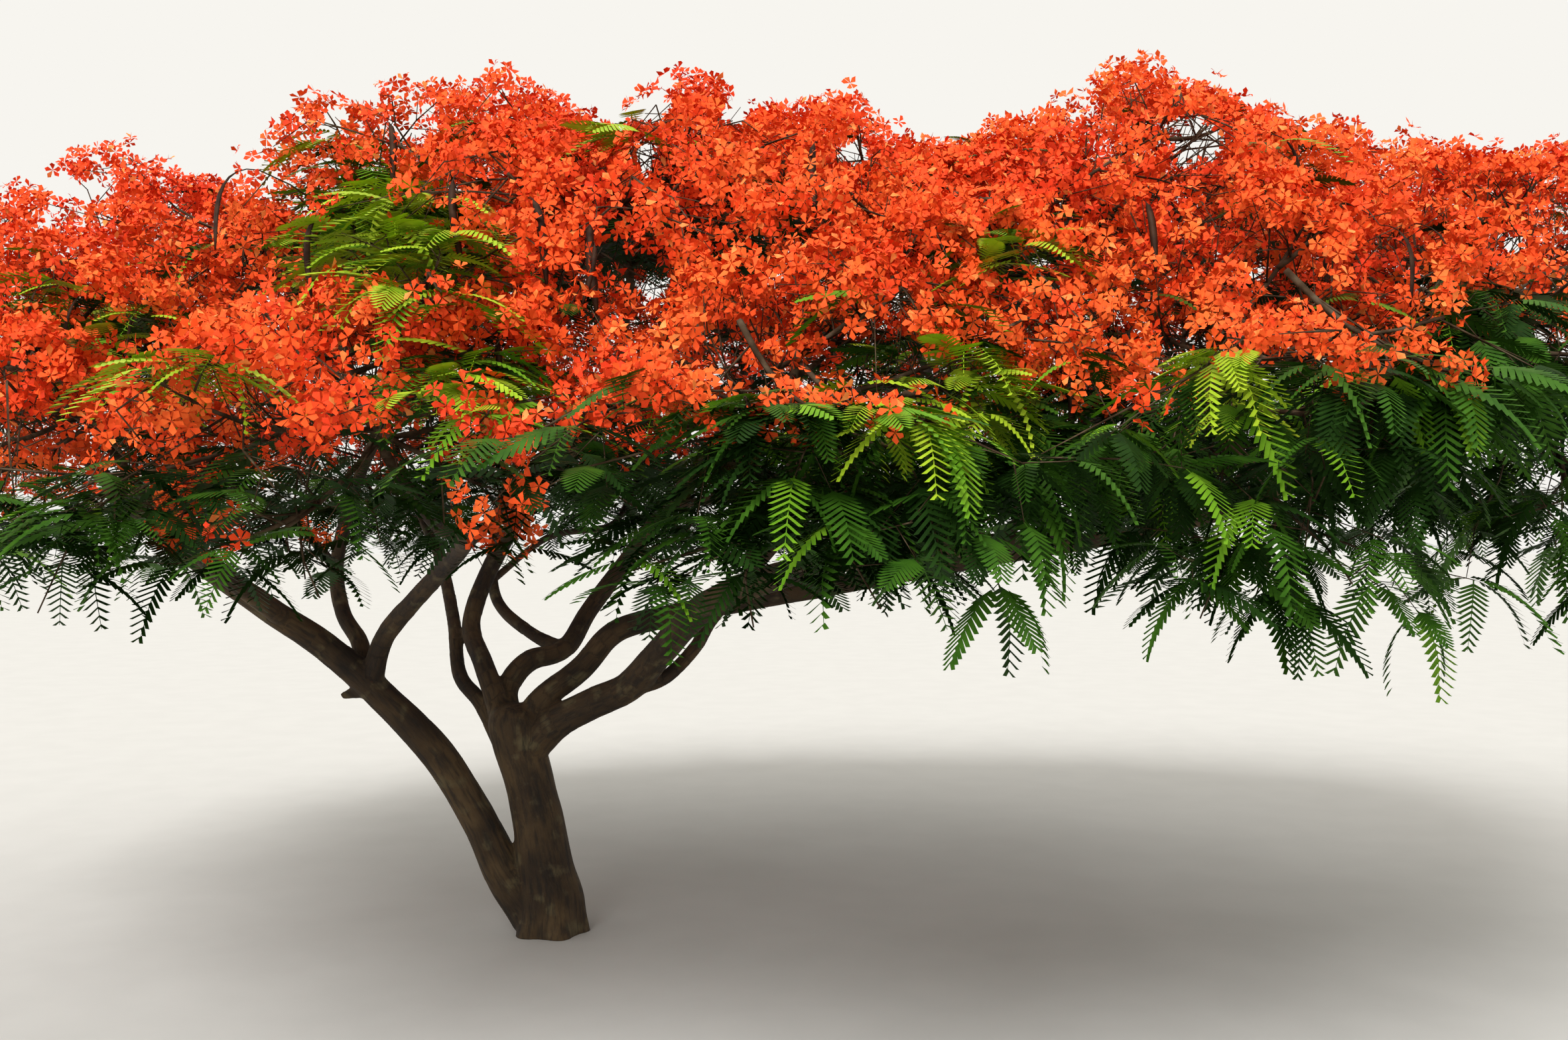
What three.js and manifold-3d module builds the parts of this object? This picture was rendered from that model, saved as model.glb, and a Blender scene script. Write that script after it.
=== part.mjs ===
// A flame tree (royal poinciana) in full bloom, standing on level ground.
// A short leaning trunk with a flared foot carries stout boughs that spread low and wide under a
// flat umbrella of foliage masses. Each mass is a stem with forking twigs, feathery leaves and
// heads of blossom fused on. Lengths are millimetres: x runs right, y runs back and z runs up.
import * as THREE from "three";
import { mergeVertices } from "three/addons/utils/BufferGeometryUtils.js";
import Module from "manifold-3d";

const wasm = await Module();
wasm.setup();

const clearance = 0.4; // between a piece and what carries it
const airGap = 4; // between pieces that don't carry each other
const leafGap = 3; // between the leaves and blossoms of one mass
const goldenTurn = 137.5; // degrees from one twig to the next round a stem
const up = new THREE.Vector3(0, 0, 1);

// The umbrella: rings of masses on an ellipse, on a roof that falls towards the front and back
const crown = {
  middleX: 1900,
  ringWidth: 7600, // half the ellipse, left to right
  ringDepth: 5500, // half the ellipse, front to back
  rimHeight: 4350,
  doming: 3050, // from the rim up to the top
  fullness: 0.6,
  shoulder: 0.75, // under 1 keeps the roof high at its left and right ends
  lean: 0.035, // rise for each unit to the right
  evening: 0.06, // turns the masses a little, so that they stand evenly round the ellipse
  firstSeed: 101,
  seedStep: 17,
};

// Each mass reaches `spread` level with its centre and `rise` above it, and hangs down to `skirt`
const rings = [
  { name: "top", count: 4, share: 0.22, turn: 50, spread: 1850, rise: 700, skirt: 5500, lowest: -16 },
  { name: "middle", count: 9, share: 0.56, turn: 13, spread: 1850, rise: 700, skirt: 4800, lowest: -24 },
  { name: "rim", count: 13, share: 0.88, turn: -4, spread: 1850, rise: 750, skirt: 3250, lowest: -72 },
];

const ribRule = {
  count: 7,
  highest: 64, // degrees above level for the last rib
  riseScatter: 14,
  turnScatter: 22,
  firstRoot: 0.35, // share of the way up the stem
  reach: 0.84, // share of the mass's own spread
  reachScatter: 0.16,
  shortest: 0.3, // a twig cut shorter than this share by its neighbours doesn't grow
  sag: 0.05, // share of its length that a twig bows down
  forkAt: 0.12, // from a rib's middle towards its tip
  forkTurn: 68, // degrees
  forkTurnScatter: 16,
  forkLength: 0.58, // share of its rib's length
  forkLengthScatter: 0.12,
  rootRadius: 7, // inside the twig or stem that it springs from
  radius: 14,
  tipRadius: 10,
};

// A mass's stem runs from inward and below to a hub near its centre, in shares of the mass's size
const stemRule = {
  inward: 0.34, below: 0.52, hubInward: 0.04, hubBelow: 0.06, bend: 0.4, radius: 38, hubRadius: 30,
};
const leafSize = { length: 920, width: 420, thickness: 24, widest: 0.42 };
const leafRule = { foot: 0.9, droop: 0.5, splay: 0.8, roll: 50, leastRoll: 0.4 };
const bloomSize = { corners: 6, wide: 480, narrow: 380, crest: 180, underside: 90, lift: 40 };
const bloomRule = { share: 0.9, shareWhenLeafy: 0.4, floor: 0.3, upturn: 0.9 };
const leafyMasses = ["middle_6", "rim_4", "rim_7"];

// Masses that stand out of their ring's even line, where the crown's top bulges or dips
const moved = {
  top_4: [0, 0, -200],
  middle_5: [200, 0, 300],
  middle_8: [0, 0, -250],
  middle_9: [-700, 0, 200],
  middle_6: [150, 0, -260],
  rim_9: [0, 0, -120],
};

const trunk = {
  sides: 14,
  flutes: 5, // root buttresses round the foot
  fluteDepth: 0.11,
  fluteHeight: 330,
  flutePhase: 0.6,
  // height, place to the right of the foot's middle, radius
  sections: [
    [0, 10, 320],
    [110, 10, 304],
    [360, 0, 282],
    [640, -50, 254],
    [1000, -108, 236],
    [1340, -186, 229],
    [1690, -280, 238],
    [1900, -312, 244],
    [2010, -318, 200],
    [2070, -318, 90],
  ],
};

// Boughs whose lie shows: way-points of the centre line, then the mass that they run into
const mainBoughs = [
  {
    name: "left_bough", parent: "trunk", into: "rim_8", base: 178, tip: 40, sides: 8,
    way: [[-150, 0, 150], [-390, -10, 480], [-620, -50, 990], [-980, -120, 1610], [-1480, -240, 2180],
      [-1920, -360, 2610], [-2340, -550, 2940]],
  },
  {
    name: "right_bough", parent: "trunk", into: "rim_12", base: 150, tip: 40, sides: 7,
    way: [[-250, -20, 1600], [50, -80, 1890], [390, -200, 2080], [730, -350, 2240], [1070, -750, 2610],
      [1530, -1400, 3060]],
  },
  {
    name: "upper_right_bough", parent: "trunk", into: "rim_1", base: 118, tip: 38, sides: 7,
    way: [[-290, 30, 1750], [-110, 0, 2060], [280, 100, 2380], [560, 200, 2690], [1110, 400, 2840]],
  },
  {
    name: "middle_bough", parent: "trunk", into: "middle_3", base: 105, tip: 36, sides: 6,
    way: [[-330, 90, 1800], [-430, 230, 2150], [-270, 380, 2400], [40, 600, 2500], [250, 900, 2860]],
  },
  {
    name: "back_left_bough", parent: "trunk", into: "top_2", base: 100, tip: 36, sides: 6,
    way: [[-380, 0, 1750], [-540, 100, 2180], [-650, 250, 2390], [-850, 700, 2790]],
  },
  {
    name: "slim_bough", parent: "trunk", into: "rim_6", base: 78, tip: 30, sides: 6,
    way: [[-400, 60, 1600], [-660, 200, 2040], [-880, 350, 2260], [-1040, 800, 2730]],
  },
  {
    name: "left_inner_bough", parent: "left_bough", into: "rim_10", base: 92, tip: 34, sides: 6,
    way: [[-1560, -250, 2240], [-1410, -400, 2660], [-1000, -900, 3060], [-580, -1500, 3390]],
  },
  {
    name: "left_rising_bough", parent: "left_bough", into: "middle_5", base: 80, tip: 30, sides: 6,
    way: [[-1640, -260, 2340], [-1700, -60, 2600], [-1930, 200, 2870], [-2100, 600, 3340]],
  },
  {
    name: "middle_fork", parent: "middle_bough", into: "middle_4", base: 62, tip: 28, sides: 6,
    way: [[40, 600, 2500], [-320, 900, 2630], [-780, 1500, 2970]],
  },
  {
    name: "right_low_bough", parent: "right_bough", into: "middle_9", base: 64, tip: 28, sides: 6,
    way: [[730, -350, 2240], [1050, -420, 2330], [1350, -300, 2620], [1450, -200, 2800]],
  },
];

// Side limbs leave the bough that reaches their mass most easily
const sideLimb = {
  base: 0.62, // share of its bough's radius where it leaves
  thickest: 78,
  tip: 32,
  sides: 5,
  earliest: 0.34,
  latest: 0.86,
  apart: 0.07, // shares of the bough's length between two side limbs
  leastSlant: 0.2,
  turnCost: 1.6,
  swing: 0.9, // how far its first heading turns from the bough's towards the mass
};
const limbRule = {
  taper: 0.62,
  stepLength: 600,
  fewestSteps: 4,
  leave: 0.38, // handles of the curve into a mass's stem, in shares of the distance
  arrive: 0.3,
  roundAt: [0.36, 0.7],
};

const radians = THREE.MathUtils.degToRad;
const lerp = THREE.MathUtils.lerp;

// Park and Miller's generator, so that every build gives the same tree
function seededRandom(seed) {
  let state = seed;
  return () => {
    state = (state * 48271) % 2147483647;
    return state / 2147483647;
  };
}

// Masses: places, own frames and the stems that carry them

function roofHeight(turn, share) {
  const fall = (crown.shoulder * Math.cos(turn)) ** 2 + Math.sin(turn) ** 2;
  const dome = Math.pow(1 - share * share * fall, crown.fullness);
  return crown.rimHeight + crown.doming * dome + crown.lean * crown.ringWidth * share * Math.cos(turn);
}

function placeMass(ring, index, seed) {
  const even = radians(ring.turn + (360 * index) / ring.count);
  const turn = even + crown.evening * Math.sin(2 * even);
  const centre = new THREE.Vector3(
    crown.middleX + crown.ringWidth * ring.share * Math.cos(turn),
    crown.ringDepth * ring.share * Math.sin(turn),
    roofHeight(turn, ring.share) - ring.rise,
  );
  const name = `${ring.name}_${index + 1}`;
  if (moved[name]) centre.add(new THREE.Vector3(...moved[name]));
  const outward = new THREE.Vector3(Math.cos(turn), Math.sin(turn), 0);
  const drop = centre.z - ring.skirt;
  const stemStart = centre.clone().addScaledVector(outward, -stemRule.inward * ring.spread);
  stemStart.z -= stemRule.below * Math.min(drop, ring.spread);
  const hub = centre.clone().addScaledVector(outward, -stemRule.hubInward * ring.spread);
  hub.z -= stemRule.hubBelow * drop;
  return {
    name, ring, seed, centre, outward, drop, stemStart, hub,
    sideways: new THREE.Vector3().crossVectors(up, outward),
    leafy: leafyMasses.includes(name),
  };
}

// A mass's own space is bounded by the planes half way to the other masses
function placeMasses() {
  const masses = [];
  for (const ring of rings) {
    for (let index = 0; index < ring.count; index++) {
      masses.push(placeMass(ring, index, crown.firstSeed + crown.seedStep * masses.length));
    }
  }
  for (const mass of masses) {
    mass.planes = masses
      .filter((other) => other !== mass)
      .map((other) => {
        const between = other.centre.clone().sub(mass.centre);
        return { limit: between.length() / 2 - airGap, normal: between.normalize() };
      });
  }
  return masses;
}

// A point of a mass's own space, from a turn and a rise in degrees and a share of the full reach
function inMass(mass, turn, rise, share) {
  const level = Math.cos(radians(rise)) * mass.ring.spread * share;
  const height = Math.sin(radians(rise)) * (rise > 0 ? mass.ring.rise : mass.drop) * share;
  return mass.centre
    .clone()
    .addScaledVector(mass.outward, level * Math.cos(radians(turn)))
    .addScaledVector(mass.sideways, level * Math.sin(radians(turn)))
    .addScaledVector(up, height);
}

// The twigs of a mass: ribs all round the stem, each with one fork, in the order that they grow
function growTwigs(mass) {
  const random = seededRandom(mass.seed);
  const scatter = (width) => (random() - 0.5) * width;
  const phase = random() * 360;
  const twigs = [];
  for (let rib = 0; rib < ribRule.count; rib++) {
    const share = (rib + 0.5) / ribRule.count;
    const rise = lerp(mass.ring.lowest, ribRule.highest, share) + scatter(ribRule.riseScatter);
    const turn = phase + rib * goldenTurn + scatter(ribRule.turnScatter);
    const reach = ribRule.reach + scatter(ribRule.reachScatter);
    const root = mass.stem.getPoint(lerp(ribRule.firstRoot, 1, share));
    const ribTwig = layTwig(mass, root, inMass(mass, turn, rise, reach), random);
    twigs.push(ribTwig);

    const side = rib % 2 ? 1 : -1;
    const heading = ribTwig.heading.clone();
    heading.applyAxisAngle(up, side * radians(ribRule.forkTurn + scatter(ribRule.forkTurnScatter)));
    const forkLength = ribTwig.length * (ribRule.forkLength + scatter(ribRule.forkLengthScatter));
    const fork = ribTwig.middle.clone().lerp(ribTwig.tip, ribRule.forkAt);
    const forkTip = fork.clone().addScaledVector(heading, forkLength);
    twigs.push({ ...layTwig(mass, fork, forkTip, random), parent: ribTwig });
  }
  return twigs.filter((twig) => twig.room >= ribRule.shortest);
}

// A twig bows down at its middle and stops where its head of blossom still has room
function layTwig(mass, root, aim, random) {
  const room = roomTowards(mass, root, aim, bloomSize.wide);
  const tip = root.clone().lerp(aim, room);
  const length = root.distanceTo(tip);
  const middle = root.clone().lerp(tip, 0.5).addScaledVector(up, -ribRule.sag * length);
  const heading = tip.clone().sub(middle).normalize();
  return { root, middle, tip, length, room, heading, bloomDraw: random(), leafDraw: random() };
}

// The share of the way from a root to an aim that stays inside the mass's own space by a margin
function roomTowards(mass, root, aim, margin) {
  let room = 1;
  for (const plane of mass.planes) {
    const before = plane.limit - margin - root.clone().sub(mass.centre).dot(plane.normal);
    const onward = aim.clone().sub(root).dot(plane.normal);
    if (onward > 0) room = Math.min(room, before / onward);
  }
  return room;
}

// Solids

function toManifold(geometry) {
  const bare = new THREE.BufferGeometry();
  bare.setAttribute("position", geometry.getAttribute("position"));
  bare.setIndex(geometry.getIndex());
  const merged = mergeVertices(bare, 1e-3);
  return new wasm.Manifold(
    new wasm.Mesh({
      numProp: 3,
      vertProperties: new Float32Array(merged.getAttribute("position").array),
      triVerts: new Uint32Array(merged.getIndex().array),
    }),
  );
}

// A closed cylinder bent along a path: its height runs along the curve, its radius follows radiusAt
function bendCylinder(curve, radiusAt, sides, steps) {
  const geometry = new THREE.CylinderGeometry(1, 1, 1, sides, steps);
  const position = geometry.getAttribute("position");
  const frames = [];
  let normal = null;
  for (let step = 0; step <= steps; step++) {
    const tangent = curve.getTangentAt(step / steps);
    if (!normal) normal = new THREE.Vector3(0, 1, 0).cross(tangent);
    normal.addScaledVector(tangent, -normal.dot(tangent)).normalize();
    frames.push({
      point: curve.getPointAt(step / steps),
      normal: normal.clone(),
      binormal: new THREE.Vector3().crossVectors(tangent, normal),
    });
  }
  const corner = new THREE.Vector3();
  for (let i = 0; i < position.count; i++) {
    corner.fromBufferAttribute(position, i);
    const share = corner.y + 0.5;
    const frame = frames[Math.round(share * steps)];
    const radius = radiusAt(share);
    const placed = frame.point
      .clone()
      .addScaledVector(frame.normal, corner.x * radius)
      .addScaledVector(frame.binormal, -corner.z * radius);
    position.setXYZ(i, placed.x, placed.y, placed.z);
  }
  return toManifold(geometry);
}

// The trunk is a stack of level rings, fluted towards the foot, so its foot is a flat cut
function trunkSolid(grow = 0) {
  const { flutes, fluteDepth, fluteHeight, flutePhase } = trunk;
  const steps = trunk.sections.length - 1;
  const geometry = new THREE.CylinderGeometry(1, 1, 1, trunk.sides, steps);
  const position = geometry.getAttribute("position");
  for (let i = 0; i < position.count; i++) {
    const [height, right, radius] = trunk.sections[Math.round((position.getY(i) + 0.5) * steps)];
    const turn = Math.atan2(position.getZ(i), position.getX(i));
    const flute = fluteDepth * Math.exp(-height / fluteHeight) * Math.cos(flutes * turn + flutePhase);
    const onAxis = position.getX(i) === 0 && position.getZ(i) === 0;
    const wide = onAxis ? 0 : radius * (1 + flute) + grow;
    const high = height > 0 ? height + grow : 0;
    position.setXYZ(i, right + Math.cos(turn) * wide, -Math.sin(turn) * wide, high);
  }
  return toManifold(geometry);
}

const limbRadius = (limb, share) => limb.tip + (limb.base - limb.tip) * Math.pow(1 - share, limbRule.taper);

function limbSolid(limb, grow = 0) {
  const steps = Math.max(limbRule.fewestSteps, Math.round(limb.length / limbRule.stepLength));
  return bendCylinder(limb.curve, (share) => limbRadius(limb, share) + grow, limb.sides, steps);
}

// Limbs

// Points that round the way from a start and its heading into a mass's stem
function approach(start, heading, mass) {
  const arrival = mass.hub.clone().sub(mass.stemStart).normalize();
  const reach = start.distanceTo(mass.stemStart);
  const leave = start.clone().addScaledVector(heading, reach * limbRule.leave);
  const arrive = mass.stemStart.clone().addScaledVector(arrival, -reach * limbRule.arrive);
  const bezier = new THREE.CubicBezierCurve3(start, leave, arrive, mass.stemStart);
  return [...limbRule.roundAt.map((share) => bezier.getPoint(share)), mass.stemStart];
}

// The mass's stem goes on from the limb's flat end in the same line, a hair away from it
function finishLimb(limb, points) {
  limb.curve = new THREE.CatmullRomCurve3(points, false, "centripetal");
  limb.curve.arcLengthDivisions = 400;
  limb.length = limb.curve.getLength();
  limb.joints = [];
  const { mass } = limb;
  const heading = limb.curve.getTangentAt(1);
  const foot = mass.stemStart.clone().addScaledVector(heading, clearance);
  const bend = foot.clone().addScaledVector(heading, stemRule.bend * foot.distanceTo(mass.hub));
  mass.stem = new THREE.QuadraticBezierCurve3(foot, bend, mass.hub);
  return limb;
}

function mainBough(row, masses) {
  const mass = masses.find((each) => each.name === row.into);
  const way = row.way.map((point) => new THREE.Vector3(...point));
  const last = way[way.length - 1];
  const heading = last.clone().sub(way[way.length - 2]).normalize();
  const { name, parent, base, tip, sides } = row;
  return finishLimb({ name, parent, base, tip, sides, mass }, [...way, ...approach(last, heading, mass)]);
}

// The side limb for a mass starts where the way to it is short and leaves its bough at a slant
function sideLimbFor(mass, limbs) {
  let best = null;
  for (const bough of limbs) {
    for (let share = sideLimb.earliest; share <= sideLimb.latest; share += 0.02) {
      if (bough.joints.some((joint) => Math.abs(joint - share) < sideLimb.apart)) continue;
      const start = bough.curve.getPointAt(share);
      const tangent = bough.curve.getTangentAt(share);
      const across = mass.stemStart.clone().sub(start);
      const slant = tangent.dot(across.clone().normalize());
      if (slant < sideLimb.leastSlant || limbRadius(bough, share) < sideLimb.tip * 1.2) continue;
      const cost = across.length() * (1 + sideLimb.turnCost * (1 - slant) ** 2);
      if (!best || cost < best.cost) best = { cost, bough, share, start, tangent, across };
    }
  }
  best.bough.joints.push(best.share);
  const base = Math.min(sideLimb.thickest, limbRadius(best.bough, best.share) * sideLimb.base);
  const heading = best.tangent.clone().addScaledVector(best.across.normalize(), sideLimb.swing).normalize();
  const { tip, sides } = sideLimb;
  const limb = { name: `limb_to_${mass.name}`, parent: best.bough.name, base, tip, sides, mass };
  return finishLimb(limb, [best.start, ...approach(best.start, heading, mass)]);
}

function growLimbs(masses) {
  const limbs = mainBoughs.map((row) => mainBough(row, masses));
  const reached = new Set(limbs.map((limb) => limb.mass.name));
  const waiting = masses.filter((mass) => !reached.has(mass.name));
  waiting.sort((a, b) => a.centre.length() - b.centre.length());
  for (const mass of waiting) limbs.push(sideLimbFor(mass, limbs));
  return limbs;
}

// Leaves, blossom and the fused masses

// A blade in four corners with a raised and a sunk middle: the octahedron, with its widest place moved
function leafSolid(foot, heading, flat) {
  const geometry = new THREE.OctahedronGeometry(1, 0);
  const position = geometry.getAttribute("position");
  const across = new THREE.Vector3().crossVectors(flat, heading).normalize();
  const face = new THREE.Vector3().crossVectors(heading, across).normalize();
  const { length, width, thickness, widest } = leafSize;
  for (let i = 0; i < position.count; i++) {
    const x = position.getX(i);
    const along = x < -0.5 ? 0 : x > 0.5 ? length : length * widest;
    const placed = foot
      .clone()
      .addScaledVector(heading, along)
      .addScaledVector(across, (position.getY(i) * width) / 2)
      .addScaledVector(face, (position.getZ(i) * thickness) / 2);
    position.setXYZ(i, placed.x, placed.y, placed.z);
  }
  return toManifold(geometry);
}

// A head of blossom: a cushion with a raised crown and an uneven edge
function bloomSolid(middle, facing, turn) {
  const { corners, wide, narrow, crest, underside } = bloomSize;
  const geometry = new THREE.CylinderGeometry(0, 0, 1, corners, 2);
  const position = geometry.getAttribute("position");
  const across = new THREE.Vector3(1, 0, 0).cross(facing).normalize();
  const along = new THREE.Vector3().crossVectors(facing, across);
  const ring = corners + 1; // the cylinder's rows of points: top, rim, bottom
  for (let i = 0; i < position.count; i++) {
    const y = position.getY(i);
    const atRim = Math.abs(y) < 0.1;
    const corner = i % ring;
    const radius = atRim ? (corner % 2 ? narrow : wide) : 0;
    const angle = turn + (corner * 2 * Math.PI) / corners;
    const height = atRim ? 0 : y > 0 ? crest : -underside;
    const placed = middle
      .clone()
      .addScaledVector(across, Math.cos(angle) * radius)
      .addScaledVector(along, Math.sin(angle) * radius)
      .addScaledVector(facing, height);
    position.setXYZ(i, placed.x, placed.y, placed.z);
  }
  return toManifold(geometry);
}

function twigSolid(twig) {
  const curve = new THREE.CatmullRomCurve3([twig.root, twig.middle, twig.tip]);
  const { rootRadius, radius, tipRadius } = ribRule;
  const radiusAt = (share) => (share < 0.4 ? rootRadius : share < 0.9 ? radius : tipRadius);
  return bendCylinder(curve, radiusAt, 3, twig.parent ? 1 : 2);
}

// True where every corner of a solid stays inside the mass's own space
function keepsToSpace(solid, mass) {
  const { vertProperties, numProp, numVert } = solid.getMesh();
  const corner = new THREE.Vector3();
  for (let i = 0; i < numVert; i++) {
    corner.fromArray(vertProperties, i * numProp).sub(mass.centre);
    if (mass.planes.some((plane) => corner.dot(plane.normal) > plane.limit)) return false;
  }
  return true;
}

const boxesNear = (a, b, gap) =>
  a.min.every((low, axis) => low - gap < b.max[axis] && b.min[axis] - gap < a.max[axis]);

function clearOf(solid, others, gap) {
  const box = solid.boundingBox();
  return others.every((other) => !boxesNear(box, other.box, gap) || solid.minGap(other.solid, gap * 2) > gap);
}

// A leaf springs from near its twig's tip, to one side and drooping, with its blade rolled
function leafOn(twig, side) {
  const foot = twig.middle.clone().lerp(twig.tip, leafRule.foot);
  const heading = twig.heading.clone();
  const across = new THREE.Vector3().crossVectors(up, heading).normalize();
  heading.addScaledVector(across, side * leafRule.splay);
  heading.z -= leafRule.droop;
  heading.normalize();
  const roll = side * radians(leafRule.roll * (leafRule.leastRoll + twig.leafDraw));
  return leafSolid(foot, heading, up.clone().applyAxisAngle(heading, roll));
}

// One mass: the stem first, then each twig that keeps clear, with the leaves and blossom that it bears
function massSolid(mass, obstacles) {
  const grown = [];
  // Adds a piece that keeps clear of the limbs and of all that grew before it, but for its own kin
  const grow = (twig, kind, solid, kin) => {
    const others = grown.filter((piece) => !kin(piece));
    if (!keepsToSpace(solid, mass)) return false;
    if (!clearOf(solid, obstacles, airGap) || !clearOf(solid, others, leafGap)) return false;
    grown.push({ twig, kind, solid, box: solid.boundingBox() });
    return true;
  };
  const stem = bendCylinder(mass.stem, (share) => lerp(stemRule.radius, stemRule.hubRadius, share), 4, 2);
  const bloomShare = mass.leafy ? bloomRule.shareWhenLeafy : bloomRule.share;
  for (const twig of growTwigs(mass)) {
    if (twig.parent && !grown.some((piece) => piece.twig === twig.parent)) continue;
    if (!grow(twig, "twig", twigSolid(twig), (piece) => piece.kind === "twig")) continue;
    const before = grown.length;
    const ownTwig = (piece) => piece.twig === twig && piece.kind === "twig";
    let blooms = twig.tip.z > mass.centre.z - bloomRule.floor * mass.drop && twig.bloomDraw < bloomShare;
    if (blooms) {
      const outwards = twig.tip.clone().sub(mass.centre).normalize();
      const facing = outwards.addScaledVector(up, bloomRule.upturn).normalize();
      const middle = twig.tip.clone().addScaledVector(facing, bloomSize.lift);
      blooms = grow(twig, "bloom", bloomSolid(middle, facing, twig.leafDraw * Math.PI), ownTwig);
    }
    const sides = mass.leafy ? [-1, 1, 0] : [-1, 1];
    if (!blooms) for (const side of sides) grow(twig, "leaf", leafOn(twig, side), ownTwig);
    if (grown.length === before) grown.pop(); // a twig that bears nothing is left out
  }
  const fused = wasm.Manifold.union([stem, ...grown.map((piece) => piece.solid)]).decompose();
  return fused.sort((a, b) => b.volume() - a.volume())[0];
}

// Colours

const finishes = {
  bark: { color: 0x5b4a3c, roughness: 0.95, metalness: 0 },
  blossom: { color: 0xd8401c, roughness: 0.7, metalness: 0 },
  leaves: { color: 0x5f8f2a, roughness: 0.7, metalness: 0 },
};

function addMesh(group, name, solid, finish) {
  const { numProp, numVert, vertProperties, triVerts } = solid.getMesh();
  const corners = new Float32Array(numVert * 3);
  for (let i = 0; i < numVert; i++) corners.set(vertProperties.subarray(i * numProp, i * numProp + 3), i * 3);
  const geometry = new THREE.BufferGeometry();
  geometry.setAttribute("position", new THREE.BufferAttribute(corners, 3));
  geometry.setIndex(new THREE.BufferAttribute(new Uint32Array(triVerts), 1));
  geometry.computeVertexNormals();
  const mesh = new THREE.Mesh(geometry, new THREE.MeshStandardMaterial(finishes[finish]));
  mesh.name = name;
  group.add(mesh);
}

// Each limb is cut back from those made before it, so that it is seated on them with a hair of air
function buildTree() {
  const group = new THREE.Group();
  const masses = placeMasses();
  const limbs = growLimbs(masses);
  const woods = [{ name: "trunk", solid: trunkSolid(), wide: trunkSolid(clearance) }];
  for (const limb of limbs) {
    let solid = limbSolid(limb);
    for (const wood of woods) {
      if (boxesNear(solid.boundingBox(), wood.wide.boundingBox(), 0)) solid = solid.subtract(wood.wide);
    }
    const largest = solid.decompose().sort((a, b) => b.volume() - a.volume())[0];
    woods.push({ name: limb.name, solid: largest, wide: limbSolid(limb, clearance) });
  }
  for (const wood of woods) {
    wood.box = wood.solid.boundingBox();
    addMesh(group, wood.name, wood.solid, "bark");
  }
  for (const mass of masses) {
    addMesh(group, `mass_${mass.name}`, massSolid(mass, woods), mass.leafy ? "leaves" : "blossom");
  }
  return group;
}

export default buildTree();
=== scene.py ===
# A flame tree (royal poinciana) in full bloom, for Blender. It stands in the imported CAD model's
# frame: metres, x to the right, y to the back, z up, the trunk's foot at the origin.
# The growth rule is the CAD source's own, in millimetres, written again here and carried on to
# finer twigs, feathery fronds, open flowers and pods.
import math

import bpy
import numpy as np
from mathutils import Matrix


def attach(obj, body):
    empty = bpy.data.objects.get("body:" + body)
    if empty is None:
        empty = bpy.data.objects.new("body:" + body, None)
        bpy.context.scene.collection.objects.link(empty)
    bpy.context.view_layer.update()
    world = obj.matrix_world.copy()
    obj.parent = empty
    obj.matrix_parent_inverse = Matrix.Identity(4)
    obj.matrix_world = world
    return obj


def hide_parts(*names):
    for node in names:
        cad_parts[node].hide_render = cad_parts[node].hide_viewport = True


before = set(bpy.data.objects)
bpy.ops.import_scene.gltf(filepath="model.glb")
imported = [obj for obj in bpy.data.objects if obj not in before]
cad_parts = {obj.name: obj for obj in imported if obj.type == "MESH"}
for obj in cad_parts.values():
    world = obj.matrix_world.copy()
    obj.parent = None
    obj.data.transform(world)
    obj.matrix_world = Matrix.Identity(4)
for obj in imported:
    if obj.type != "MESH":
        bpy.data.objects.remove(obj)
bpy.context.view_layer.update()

goldenTurn = 137.5
upward = np.array([0.0, 0.0, 1.0])
flat = np.array([1.0, 1.0, 0.0])  # times a vector, its level part
metre = 0.001  # the growth rule's millimetres to metres

# Vectors and noise


# Vectors divided by their lengths
def unit(vectors):
    return vectors / np.maximum(np.linalg.norm(vectors, axis=-1, keepdims=True), 1e-9)


# The minimal standard generator: each state is the last one times 48271, modulo 2147483647
def seededRandom(seed):
    state = [seed]

    def draw():
        state[0] = state[0] * 48271 % 2147483647
        return state[0] / 2147483647

    return draw


noiseHash = {"axes": [73856093, 19349663, 83492791], "seed": 2654435, "mix": 1274126177}


# Value noise: a hashed number at each corner of a unit grid, blended smoothly between the corners
def valueNoise(points, seed):
    cell = np.floor(points).astype(np.int64)
    part = points - cell
    part = part * part * (3 - 2 * part)
    total = np.zeros(len(points))
    for corner in range(8):
        step = np.array([corner & 1, corner >> 1 & 1, corner >> 2 & 1])
        mixed = np.bitwise_xor.reduce((cell + step) * noiseHash["axes"], axis=1)
        mixed = mixed ^ seed * noiseHash["seed"]
        mixed = (mixed ^ mixed >> 13) * noiseHash["mix"] & 0x7FFFFFFF
        mixed = (mixed ^ mixed >> 16) & 0xFFFF
        total += np.prod(np.where(step == 1, part, 1 - part), axis=1) * (mixed / 65535.0)
    return total


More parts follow.
